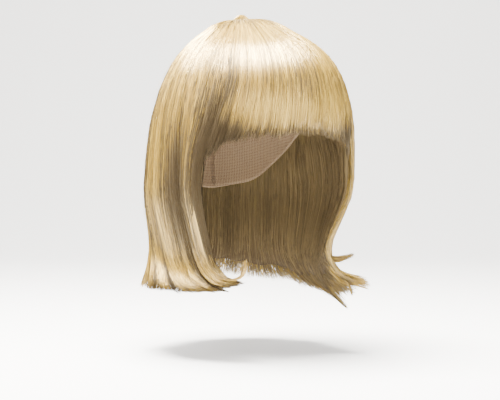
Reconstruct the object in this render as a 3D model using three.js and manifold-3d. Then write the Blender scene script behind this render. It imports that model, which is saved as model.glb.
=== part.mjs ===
// Short bob wig with a blunt fringe, as worn: a thin cloth cap that carries a crown whorl, a fringe and six
// sections of hair. Each section is a thick wall of locks that lies on the cap, then hangs free to its ends.
// Millimetres, +Z up. The wearer faces -Y, so +X is the wearer's left. The origin is on the inside of the
// cap, at the point where the top of the head touches it.
import * as THREE from "three";
import Module from "manifold-3d";

const wasm = await Module();
wasm.setup();

// The head that the cap fits: half of an ellipsoid, and how far below the origin its widest level lies.
const head = { halfWidth: 76, halfLength: 94, height: 112 };
const capWall = 1.5;
const capGap = 1.2; // from the cap's outside to the hair
const capColour = 0xcbb48a;
const whorlColour = 0xd9bf88;
const hairRoughness = 0.42;
const rad = THREE.MathUtils.degToRad;

// Outside of the hair, from the whorl down to the waist of the bob. Each row is one level: its height over
// the origin, its radius to the front, side and back, and how far its centre lies behind the origin.
const levels = [
  { height: 19.5, front: 9, side: 9, back: 9, behind: 22 },
  { height: 14.5, front: 31, side: 29, back: 30, behind: 16 },
  { height: 4.5, front: 55, side: 46, back: 49, behind: 9 },
  { height: -11, front: 83, side: 66, back: 66, behind: 4 },
  { height: -33, front: 100, side: 82, back: 82, behind: 1 },
  { height: -58, front: 106, side: 92, back: 95, behind: 0 },
  { height: -84, front: 107, side: 98, back: 105, behind: 0 },
  { height: -112, front: 106, side: 100, back: 111, behind: 0 },
  { height: -140, front: 105, side: 100, back: 114, behind: 0 },
];
const waist = levels.length - 1; // the last of the levels, where the ends begin
const tips = waist + 5; // the level of the tips

// The ends below the waist, by azimuth: 0 is the front and 90 the wearer's left. Each end is a length of
// hair that is tucked in towards the neck and then turns by some degrees, out of the head and forward.
const ends = [
  { azimuth: -180, length: 101, tuck: 8, turn: 40, out: 1.0, forward: 0.0 },
  { azimuth: -150, length: 100, tuck: 6, turn: 26, out: 1.0, forward: 0.0 },
  { azimuth: -128, length: 102, tuck: 0, turn: 20, out: 1.0, forward: 0.1 },
  { azimuth: -117, length: 111, tuck: 0, turn: 34, out: 0.5, forward: 0.7 },
  { azimuth: -106, length: 118, tuck: 4, turn: 60, out: -0.5, forward: 1.0 },
  { azimuth: -92, length: 123, tuck: 8, turn: 74, out: -0.6, forward: 1.0 },
  { azimuth: -76, length: 129, tuck: 14, turn: 88, out: -0.7, forward: 1.0 },
  { azimuth: -58, length: 122, tuck: 21, turn: 96, out: -0.8, forward: 0.8 },
  { azimuth: 58, length: 112, tuck: 26, turn: 72, out: 1.0, forward: 0.1 },
  { azimuth: 72, length: 123, tuck: 26, turn: 58, out: 1.0, forward: 0.3 },
  { azimuth: 88, length: 134, tuck: 23, turn: 44, out: 0.8, forward: 0.6 },
  { azimuth: 104, length: 130, tuck: 20, turn: 46, out: 0.7, forward: 0.8 },
  { azimuth: 122, length: 120, tuck: 16, turn: 48, out: 0.8, forward: 0.6 },
  { azimuth: 145, length: 110, tuck: 12, turn: 44, out: 1.0, forward: 0.3 },
  { azimuth: 180, length: 101, tuck: 8, turn: 40, out: 1.0, forward: 0.0 },
];
const tuckEnds = 0.7; // share of an end's length by which its tuck is complete
const turnStarts = 0.45; // and from which it turns
const turnSteps = 24;

// Where the fringe meets the side hair, as degrees to each side of the front, by level.
const parting = [
  { level: 0, azimuth: 41 },
  { level: 4.5, azimuth: 41 },
  { level: 6, azimuth: 47.5 },
  { level: 7, azimuth: 56 },
  { level: 8, azimuth: 58 },
];
const fringeMiddle = 6.32; // level of the fringe's cut over the nose
const fringeDrop = 0.73; // and how many levels lower its two corners are
const fringeSquareness = 4; // how late along its width the cut drops to the corners
const fringeTurnIn = 5; // how far the cut edge curls in towards the brow
const foldRight = -71; // azimuth of the deep fold behind the right front lock
const foldLeft = 77; // and behind the left one
const backBreak = 120; // azimuth where the sides meet the back

// Gap between two sections side by side, by level. It opens where the ends turn.
const sectionGap = [
  { level: 0, gap: 0.8 },
  { level: 9, gap: 0.8 },
  { level: 13, gap: 3.5 },
];

// The level down to which the hair lies on the cap, by azimuth.
const onCapTo = [
  { azimuth: 0, level: 4 },
  { azimuth: 50, level: 4.5 },
  { azimuth: 77, level: 5.5 },
  { azimuth: 104, level: 6 },
  { azimuth: 120, level: 7 },
  { azimuth: 180, level: 7.5 },
];
const leavesOver = 2; // and over how many levels it leaves it

// Thickness of the free hair by level, and of the fringe, which is thinned.
const hairWall = [
  { level: 0, thickness: 17 },
  { level: 5, thickness: 15 },
  { level: 8, thickness: 12 },
  { level: 11, thickness: 8 },
  { level: 13, thickness: 2.4 },
];
const fringeWall = [
  { level: 0, thickness: 17 },
  { level: 4, thickness: 13 },
  { level: 6, thickness: 6 },
  { level: 7, thickness: 2.4 },
];

// The levels of the rows of points, first those that all sections share and then those of the free ends.
const hairRows = {
  fixed: [0, 1, 1.5, 2, 2.5, 3, 3.5, 4, 4.6, 5.3, 6, 7, 8],
  spread: [9.4, 10.6, 11.5, 12.3, 13],
};
const fringeRows = {
  fixed: [0, 1, 1.5, 2, 2.5, 3, 3.5, 4, 4.6, 5.3],
  spread: [6, 6.5, 7],
};

// The sections of hair, each from one azimuth edge to the other. Its locks are given from the first edge:
// their share of the width, how far each stands proud or lies back, and how many millimetres longer than the
// section it is. The notch is how far the end is cut back in the folds between locks.
const hanging = { end: () => tips, wall: hairWall, rows: hairRows, turnIn: 0, notch: 10 };
const sections = [
  {
    name: "fringe",
    colour: 0xdcc48e,
    from: (level) => -valueAt(parting, level, "azimuth"),
    to: (level) => valueAt(parting, level, "azimuth"),
    end: (share) => fringeMiddle + fringeDrop * Math.abs(2 * share - 1) ** fringeSquareness,
    wall: fringeWall,
    rows: fringeRows,
    turnIn: fringeTurnIn,
    notch: 2,
    locks: [
      { width: 0.8, lift: -1.2, longer: 4 },
      { width: 1.1, lift: 0, longer: 0 },
      { width: 0.9, lift: -0.6, longer: 1 },
      { width: 1.2, lift: 0.4, longer: 0 },
      { width: 1.0, lift: -0.4, longer: -1 },
      { width: 1.1, lift: 0.3, longer: 0 },
      { width: 0.9, lift: -0.5, longer: 1 },
      { width: 1.1, lift: 0.2, longer: 0 },
      { width: 0.8, lift: -1.0, longer: 3 },
    ],
  },
  {
    ...hanging,
    name: "front_lock_right",
    colour: 0xd6bd88,
    from: () => foldRight,
    to: (level) => -valueAt(parting, level, "azimuth"),
    locks: [
      { width: 0.8, lift: -0.8, longer: -3 },
      { width: 1.1, lift: 0.8, longer: 0 },
      { width: 0.9, lift: -0.4, longer: -4 },
    ],
  },
  {
    ...hanging,
    name: "side_hair_right",
    colour: 0xcfb57f,
    from: () => -backBreak,
    to: () => foldRight,
    locks: [
      { width: 1.1, lift: 0, longer: -4 },
      { width: 0.9, lift: -0.8, longer: 0 },
      { width: 1.2, lift: 0.6, longer: 2 },
      { width: 0.8, lift: -2.4, longer: -2 },
    ],
  },
  {
    ...hanging,
    name: "back_hair_right",
    colour: 0xc7ac77,
    from: () => -180,
    to: () => -backBreak,
    locks: [
      { width: 1.0, lift: 0, longer: 0 },
      { width: 1.2, lift: -0.6, longer: 3 },
      { width: 0.9, lift: 0.4, longer: -2 },
      { width: 1.1, lift: -0.4, longer: 2 },
      { width: 0.9, lift: 0.5, longer: -5 },
    ],
  },
  {
    ...hanging,
    name: "back_hair_left",
    colour: 0xc7ac77,
    from: () => backBreak,
    to: () => 180,
    locks: [
      { width: 1.0, lift: 0.3, longer: 3 },
      { width: 0.9, lift: -0.6, longer: -3 },
      { width: 1.2, lift: 0.4, longer: 2 },
      { width: 0.9, lift: -0.5, longer: 0 },
      { width: 1.1, lift: 0, longer: -1 },
    ],
  },
  {
    ...hanging,
    name: "side_hair_left",
    colour: 0xcfb57f,
    from: () => foldLeft,
    to: () => backBreak,
    locks: [
      { width: 0.9, lift: -1.6, longer: 6 },
      { width: 1.1, lift: 0.5, longer: 0 },
      { width: 0.9, lift: -0.6, longer: 4 },
      { width: 1.1, lift: 0.2, longer: -2 },
    ],
  },
  {
    ...hanging,
    name: "front_lock_left",
    colour: 0xd6bd88,
    from: (level) => valueAt(parting, level, "azimuth"),
    to: () => foldLeft,
    locks: [
      { width: 0.9, lift: -0.4, longer: 2 },
      { width: 1.1, lift: 0.8, longer: -6 },
      { width: 0.8, lift: -0.8, longer: 4 },
    ],
  },
];

// Depth of the folds between locks, by level. On the ridge of a lock its lift counts in full at the ears.
const foldDepth = [
  { level: 0, depth: 0 },
  { level: 3, depth: 2.2 },
  { level: 8, depth: 3.4 },
  { level: 13, depth: 2.2 },
];
const liftShare = 0.3;
const ridgeRoundness = 2.2;
const tipWall = 2.2;
const tipGrowth = 6; // by how much the wall thickens above the tips, in each level
const curlLevels = 1.2; // over how many levels the fringe's edge curls in
const spareTip = 0.3; // how far, in levels, the longest locks may pass the tips
const columnsPerLock = 4;
const levelLength = 25; // length of hair from one level to the next, below the waist

// The loose flicks on the two front locks. Each grows out of its lock at one azimuth and level and reaches
// out, forward and up from there.
const flicks = [
  { on: "front_lock_left", azimuth: 61, level: 11.1, out: 17, forward: 3, up: 6, width: 6, depth: 3.5 },
  { on: "front_lock_left", azimuth: 62, level: 11.4, out: 20, forward: 4, up: -5, width: 8, depth: 4 },
  { on: "front_lock_left", azimuth: 65, level: 11.6, out: 21, forward: 6, up: -10, width: 9, depth: 4.5 },
  { on: "front_lock_left", azimuth: 71, level: 12.0, out: 8, forward: 4, up: -12, width: 7, depth: 4 },
  { on: "front_lock_right", azimuth: -60, level: 12.1, out: -13, forward: 12, up: 17, width: 8, depth: 3 },
];
const flickRoot = 0.5; // how far above its level a flick is rooted, in levels
const flickBend = 0.3; // and how far below it turns away
const flickTip = 0.08; // a flick's size at its tip, as a share of its size at the root
const flickRings = 7;
const flickSides = 8;

// The cap's cut edge, by azimuth: along the hairline, down to the ear tabs, over the ears and to the nape.
const capEdge = [
  { azimuth: 0, height: -44 },
  { azimuth: 30, height: -46 },
  { azimuth: 52, height: -60 },
  { azimuth: 68, height: -92 },
  { azimuth: 80, height: -104 },
  { azimuth: 92, height: -90 },
  { azimuth: 104, height: -84 },
  { azimuth: 122, height: -112 },
  { azimuth: 145, height: -142 },
  { azimuth: 180, height: -150 },
];
const capColumns = 40;
const capRows = 9;

// The whorl's rings, from its top down.
const whorl = {
  behind: 22,
  top: 22.6,
  sides: 20,
  rings: [
    { radius: 3.5, height: 22.2 },
    { radius: 6.2, height: 20.8 },
    { radius: 8, height: 18 },
  ],
};

// A value read from a table of levels, straight between its rows.
function valueAt(table, key, column, keyColumn = "level") {
  const last = table.length - 1;
  if (key <= table[0][keyColumn]) return table[0][column];
  if (key >= table[last][keyColumn]) return table[last][column];
  const next = table.findIndex((row) => row[keyColumn] > key);
  const a = table[next - 1];
  const b = table[next];
  const share = (key - a[keyColumn]) / (b[keyColumn] - a[keyColumn]);
  return a[column] + (b[column] - a[column]) * share;
}

// A value read from the levels of the outside, on a smooth curve through its rows.
function levelValue(level, column) {
  const last = levels.length - 1;
  const i = Math.min(Math.floor(level), last - 1);
  const f = level - i;
  const at = (n) => levels[Math.min(Math.max(n, 0), last)][column];
  const [p0, p1, p2, p3] = [at(i - 1), at(i), at(i + 1), at(i + 2)];
  const cubic = -p0 + 3 * p1 - 3 * p2 + p3;
  const square = 2 * p0 - 5 * p1 + 4 * p2 - p3;
  return 0.5 * (2 * p1 + (p2 - p0) * f + square * f ** 2 + cubic * f ** 3);
}

const smooth = (x) => THREE.MathUtils.smoothstep(x, 0, 1);
const wrapped = (azimuth) => THREE.MathUtils.euclideanModulo(azimuth + 180, 360) - 180;
const outwards = (azimuth) => new THREE.Vector3(Math.sin(rad(azimuth)), -Math.cos(rad(azimuth)), 0);

// A point of the hair's outside, by azimuth and level. The level counts from the whorl to the tips.
function hairPoint(azimuth, level) {
  const onCap = Math.min(level, waist);
  const end = (column) => valueAt(ends, wrapped(azimuth), column, "azimuth");
  const direction = outwards(azimuth);
  const along = levelValue(onCap, direction.y < 0 ? "front" : "back");
  const across = levelValue(onCap, "side");
  const radius = 1 / Math.hypot(direction.x / across, direction.y / along);
  const hung = Math.max(level - waist, 0) / (tips - waist);
  let sideways = 0;
  let down = 0;
  for (let i = 0; i < turnSteps; i++) {
    const at = (hung * (i + 0.5)) / turnSteps;
    const angle = rad(end("turn")) * smooth((at - turnStarts) / (1 - turnStarts));
    sideways += Math.sin(angle);
    down += Math.cos(angle);
  }
  const step = (hung / turnSteps) * end("length");
  const heading = direction.clone().multiplyScalar(end("out"));
  heading.y -= end("forward");
  const tucked = end("tuck") * smooth(hung / tuckEnds);
  return direction
    .multiplyScalar(radius - tucked)
    .addScaledVector(heading.normalize(), sideways * step)
    .add(new THREE.Vector3(0, levelValue(onCap, "behind"), levelValue(onCap, "height") - down * step));
}

// The point where the line from the head's centre to a point crosses the head, grown by some millimetres.
function onHead(point, grown) {
  const p = point.clone().add(new THREE.Vector3(0, 0, head.height));
  const halfWidth = head.halfWidth + grown;
  const halfLength = head.halfLength + grown;
  const scale = 1 / Math.hypot(p.x / halfWidth, p.y / halfLength, p.z / (head.height + grown));
  return p.multiplyScalar(scale).sub(new THREE.Vector3(0, 0, head.height));
}

// Collects triangles over shared vertices. A triangle that has shrunk to a line is left out.
class Shell {
  constructor() {
    this.index = new Map();
    this.positions = [];
    this.triangles = [];
  }
  vertex(p) {
    const key = [p.x, p.y, p.z].map((v) => Math.round(v * 1e4)).join();
    if (!this.index.has(key)) {
      this.index.set(key, this.index.size);
      this.positions.push(p.x, p.y, p.z);
    }
    return this.index.get(key);
  }
  triangle(a, b, c) {
    const found = [a, b, c].map((p) => this.vertex(p));
    if (new Set(found).size === 3) this.triangles.push(...found);
  }
  // A strip of faces between two rows of points. From the side that they face, the second row is below the
  // first and the points run to the right.
  strip(upper, lower) {
    for (let i = 0; i + 1 < upper.length; i++) {
      this.triangle(upper[i], lower[i], lower[i + 1]);
      this.triangle(upper[i], lower[i + 1], upper[i + 1]);
    }
  }
  solid() {
    return new wasm.Manifold(
      new wasm.Mesh({
        numProp: 3,
        vertProperties: new Float32Array(this.positions),
        triVerts: new Uint32Array(this.triangles),
      }),
    );
  }
}

// A wall between an outer and an inner grid of points. Rows run down and columns to the right, as seen from
// outside.
function wallSolid(outer, inner) {
  const shell = new Shell();
  const rows = outer.length;
  for (let j = 0; j + 1 < rows; j++) {
    shell.strip(outer[j], outer[j + 1]);
    shell.strip(inner[j + 1], inner[j]);
  }
  shell.strip(inner[0], outer[0]);
  shell.strip(outer[rows - 1], inner[rows - 1]);
  const column = (grid, i) => grid.map((row) => row[i]);
  const last = outer[0].length - 1;
  shell.strip(column(outer, 0), column(inner, 0));
  shell.strip(column(inner, last), column(outer, last));
  return shell.solid();
}

// The named mesh of a solid, in its colour.
function meshOf(name, solid, colour) {
  const { vertProperties, triVerts } = solid.getMesh();
  const geometry = new THREE.BufferGeometry()
    .setAttribute("position", new THREE.BufferAttribute(vertProperties, 3))
    .setIndex(new THREE.BufferAttribute(triVerts, 1));
  geometry.computeVertexNormals();
  const material = new THREE.MeshStandardMaterial({ color: colour, roughness: hairRoughness, metalness: 0 });
  const mesh = new THREE.Mesh(geometry, material);
  mesh.name = name;
  return mesh;
}

// The levels of a section's rows of points in one column. The rows on the dome are the same in every section,
// so that neighbours meet. The rows of the free ends are spread down to where the column ends.
function rowLevels(section, lastLevel) {
  const { fixed, spread } = section.rows;
  const start = fixed.at(-1);
  const stretch = (lastLevel - start) / (spread.at(-1) - start);
  return [...fixed, ...spread.map((level) => start + (level - start) * stretch)];
}

// Where the columns of a section stand: their share of its width, their lock, and how near each is to the
// ridge of its lock, from 0 in the fold to 1.
function lockColumns(section) {
  const total = section.locks.reduce((sum, lock) => sum + lock.width, 0);
  const columns = [];
  let start = 0;
  section.locks.forEach((lock, n) => {
    const last = n === section.locks.length - 1;
    for (let i = 0; i < columnsPerLock + (last ? 1 : 0); i++) {
      const place = i / columnsPerLock;
      columns.push({
        share: (start + lock.width * place) / total,
        lift: lock.lift,
        longer: lock.longer,
        ridge: 1 - Math.abs(2 * place - 1) ** ridgeRoundness,
      });
    }
    start += lock.width;
  });
  return columns;
}

// One section of hair: the wall between its locks and the cap, or the air below the cap.
function hairSection(section) {
  const rowCount = section.rows.fixed.length + section.rows.spread.length;
  const outer = Array.from({ length: rowCount }, () => []);
  const inner = Array.from({ length: rowCount }, () => []);
  for (const { share, lift, longer, ridge } of lockColumns(section)) {
    const longerBy = longer * ridge - section.notch * (1 - ridge);
    const lastLevel = Math.min(section.end(share) + longerBy / levelLength, tips + spareTip);
    rowLevels(section, lastLevel).forEach((level, j) => {
      const azimuth = azimuthAt(section, share, level);
      const normal = surfaceNormal(azimuth, level);
      const fold = valueAt(foldDepth, level, "depth");
      const curlIn = section.turnIn * smooth(1 - (lastLevel - level) / curlLevels);
      const proud = fold * (ridge - 1 + ridge * lift * liftShare);
      const surface = hairPoint(azimuth, level).addScaledVector(normal, proud - curlIn);
      const sideways = outwards(azimuth + 90);
      const inwards = normal.clone().addScaledVector(sideways, -normal.dot(sideways)).normalize().negate();
      const free = surface.clone().addScaledVector(inwards, wallAt(section, level, lastLevel));
      const seated = onHead(surface, capWall + capGap);
      const left = smooth((level - valueAt(onCapTo, Math.abs(azimuth), "level", "azimuth")) / leavesOver);
      outer[j].push(surface);
      inner[j].push(seated.lerp(free, left));
    });
  }
  return wallSolid(outer, inner);
}

// The azimuth of a column of a section at one level. The section ends half a gap inside its edges.
function azimuthAt(section, share, level) {
  const from = section.from(level);
  const to = section.to(level);
  const middle = hairPoint(from + (to - from) * share, level);
  const reach = Math.hypot(middle.x, middle.y - levelValue(Math.min(level, waist), "behind"));
  const trim = THREE.MathUtils.radToDeg(valueAt(sectionGap, level, "gap") / 2 / reach);
  return from + trim + (to - from - 2 * trim) * share;
}

// Thickness of a section's wall at one level. It thins to the tips wherever they are.
function wallAt(section, level, lastLevel) {
  const thinned = tipWall + tipGrowth * (lastLevel - level);
  return Math.min(valueAt(section.wall, level, "thickness"), thinned);
}

// The direction out of the hair's surface at one place, from the points beside, above and below it.
function surfaceNormal(azimuth, level) {
  const turned = hairPoint(azimuth + 1, level).sub(hairPoint(azimuth - 1, level));
  const above = hairPoint(azimuth, Math.max(level - 0.1, 0));
  const below = hairPoint(azimuth, Math.min(level + 0.1, tips));
  return below.sub(above).cross(turned).normalize();
}

// One loose flick: a flat lock that tapers from its root inside the front lock to its tip.
function flickSolid({ azimuth, level, out, forward, up, width, depth }) {
  const normal = surfaceNormal(azimuth, level);
  const root = hairPoint(azimuth, level - flickRoot).addScaledVector(normal, -depth);
  const bend = hairPoint(azimuth, level + flickBend).addScaledVector(normal, -depth / 2);
  const tip = bend.clone().addScaledVector(outwards(azimuth), out).add(new THREE.Vector3(0, -forward, up));
  const path = new THREE.QuadraticBezierCurve3(root, bend, tip);
  const rings = [];
  for (let j = 0; j <= flickRings; j++) {
    const t = j / flickRings;
    const along = path.getTangent(t);
    const flat = new THREE.Vector3().crossVectors(along, normal).normalize();
    const thin = new THREE.Vector3().crossVectors(flat, along).normalize();
    const taper = 1 - (1 - flickTip) * t ** 1.5;
    const at = (angle) =>
      path
        .getPoint(t)
        .addScaledVector(flat, (Math.cos(angle) * width * taper) / 2)
        .addScaledVector(thin, (Math.sin(angle) * depth * taper) / 2);
    rings.push(Array.from({ length: flickSides + 1 }, (_, i) => at(rad((360 * i) / flickSides))));
  }
  const shell = new Shell();
  const point = (t) => rings[0].map(() => path.getPoint(t));
  const chain = [point(0), ...rings, point(1)];
  chain.slice(1).forEach((ring, j) => shell.strip(chain[j], ring));
  return shell.solid();
}

// The cap: a thin dome over the head, cut along its edge.
function capSolid() {
  const outer = [];
  const inner = [];
  for (let j = 0; j <= capRows; j++) {
    outer.push([]);
    inner.push([]);
    for (let i = 0; i <= capColumns; i++) {
      const azimuth = (360 * i) / capColumns - 180;
      const edge = valueAt(capEdge, Math.abs(azimuth), "height", "azimuth");
      const polar = Math.acos((edge + head.height) / head.height) * (j / capRows);
      const direction = outwards(azimuth);
      const point = new THREE.Vector3(
        direction.x * Math.sin(polar) * head.halfWidth,
        direction.y * Math.sin(polar) * head.halfLength,
        Math.cos(polar) * head.height - head.height,
      );
      inner[j].push(point);
      outer[j].push(onHead(point, capWall));
    }
  }
  const shell = new Shell();
  for (let j = 0; j < capRows; j++) {
    shell.strip(outer[j], outer[j + 1]);
    shell.strip(inner[j + 1], inner[j]);
  }
  shell.strip(outer[capRows], inner[capRows]);
  return shell.solid();
}

// The whorl: a low knot of gathered hair that closes the crown. Its sides and foot follow the cap.
function whorlSolid() {
  const shell = new Shell();
  const centre = (height) => new THREE.Vector3(0, whorl.behind, height);
  const seated = (point) => onHead(point, capWall + capGap);
  const rings = whorl.rings.map(({ radius, height }) => {
    const at = (i) => outwards((360 * (i % whorl.sides)) / whorl.sides).multiplyScalar(radius);
    return Array.from({ length: whorl.sides + 1 }, (_, i) => at(i).add(centre(height)));
  });
  rings.push(rings.at(-1).map(seated));
  rings.unshift(rings[0].map(() => centre(whorl.top)));
  rings.push(rings[0].map(seated));
  rings.slice(1).forEach((ring, j) => shell.strip(rings[j], ring));
  return shell.solid();
}

const wig = new THREE.Group();
wig.add(meshOf("cap", capSolid(), capColour));
wig.add(meshOf("crown_whorl", whorlSolid(), whorlColour));
for (const section of sections) {
  let solid = hairSection(section);
  for (const flick of flicks.filter(({ on }) => on === section.name)) {
    solid = solid.add(flickSolid(flick));
  }
  wig.add(meshOf(section.name, solid, section.colour));
}

export default wig;
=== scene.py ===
"""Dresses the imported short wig: fine fibres in locks over a darker undercoat, on a net cap.

The tables of the hair's form are in millimetres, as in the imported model's own source. What goes to Blender is
in metres. Azimuth 0 is the wearer's front, -Y, and 90 the wearer's left, +X. A level counts along the hair,
from 0 at the whorl to 8 at the waist of the bob and 13 at the tips. A share counts across a section of hair,
from 0 at its first edge to 1 at its second.
"""

import logging
import math
from dataclasses import dataclass, field
from enum import Enum
from typing import NamedTuple

import bpy
import numpy as np
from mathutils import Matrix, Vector


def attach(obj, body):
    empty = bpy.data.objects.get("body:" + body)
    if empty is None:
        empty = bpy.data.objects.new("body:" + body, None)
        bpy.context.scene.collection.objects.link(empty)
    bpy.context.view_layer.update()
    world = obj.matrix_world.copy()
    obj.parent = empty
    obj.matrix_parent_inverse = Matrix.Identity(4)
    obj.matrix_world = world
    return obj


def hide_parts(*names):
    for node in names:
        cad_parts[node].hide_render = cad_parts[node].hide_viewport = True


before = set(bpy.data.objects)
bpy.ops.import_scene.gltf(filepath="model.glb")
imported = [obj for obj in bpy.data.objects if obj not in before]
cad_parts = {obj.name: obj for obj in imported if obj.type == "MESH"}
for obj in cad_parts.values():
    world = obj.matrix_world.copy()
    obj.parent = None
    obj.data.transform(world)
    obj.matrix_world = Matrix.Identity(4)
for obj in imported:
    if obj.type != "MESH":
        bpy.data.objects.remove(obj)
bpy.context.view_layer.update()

MM = 0.001
BODY = "root"
HAIR_SLOT = "hair"
CAP_SLOT = "cap_net"
TONES = ("Shadow", "Ash", "Gold", "Cream")

# A line through some points: their places, and the value at each.
Line = tuple[tuple[float, ...], tuple[float, ...]]

log = logging.getLogger("short_wig")


def smooth(x: np.ndarray) -> np.ndarray:
    """Eases a share from 0 to 1, flat at both ends."""
    x = np.clip(x, 0, 1)
    return x * x * (3 - 2 * x)


def unit(vectors: np.ndarray) -> np.ndarray:
    """Brings the vectors in the last axis to length 1."""
    return vectors / np.linalg.norm(vectors, axis=-1, keepdims=True)


class Level(NamedTuple):
    """A level of the hair's outside: its height, its radii and how far its centre lies behind the origin."""

    height: float
    front: float
    side: float
    back: float
    behind: float


class End(NamedTuple):
    """The hair below the waist at one azimuth: its length, its tuck, its turn and the way that it turns."""

    azimuth: float
    length: float
    tuck: float
    turn: float
    out: float
    forward: float


LEVELS = (
    Level(height=19.5, front=9, side=9, back=9, behind=22),
    Level(height=14.5, front=31, side=29, back=30, behind=16),
    Level(height=4.5, front=55, side=46, back=49, behind=9),
    Level(height=-11, front=83, side=66, back=66, behind=4),
    Level(height=-33, front=100, side=82, back=82, behind=1),
    Level(height=-58, front=106, side=92, back=95, behind=0),
    Level(height=-84, front=107, side=98, back=105, behind=0),
    Level(height=-112, front=106, side=100, back=111, behind=0),
    Level(height=-140, front=105, side=100, back=114, behind=0),
)
ENDS = (
    End(azimuth=-180, length=101, tuck=8, turn=40, out=1.0, forward=0.0),
    End(azimuth=-150, length=100, tuck=6, turn=20, out=1.0, forward=0.2),
    End(azimuth=-128, length=104, tuck=2, turn=26, out=0.6, forward=0.5),
    End(azimuth=-117, length=110, tuck=4, turn=40, out=0.4, forward=0.8),
    End(azimuth=-106, length=117, tuck=8, turn=68, out=0.3, forward=1.0),
    End(azimuth=-92, length=122, tuck=11, turn=78, out=-0.3, forward=1.0),
    End(azimuth=-76, length=125, tuck=18, turn=88, out=-0.4, forward=1.0),
    End(azimuth=-58, length=118, tuck=23, turn=92, out=-0.55, forward=0.9),
    End(azimuth=58, length=112, tuck=26, turn=72, out=1.0, forward=0.1),
    End(azimuth=72, length=123, tuck=26, turn=58, out=1.0, forward=0.3),
    End(azimuth=88, length=134, tuck=23, turn=44, out=0.8, forward=0.6),
    End(azimuth=104, length=130, tuck=20, turn=46, out=0.7, forward=0.8),
    End(azimuth=122, length=120, tuck=16, turn=48, out=0.8, forward=0.6),
    End(azimuth=145, length=110, tuck=12, turn=44, out=1.0, forward=0.3),
    End(azimuth=180, length=101, tuck=8, turn=40, out=1.0, forward=0.0),
)


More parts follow.
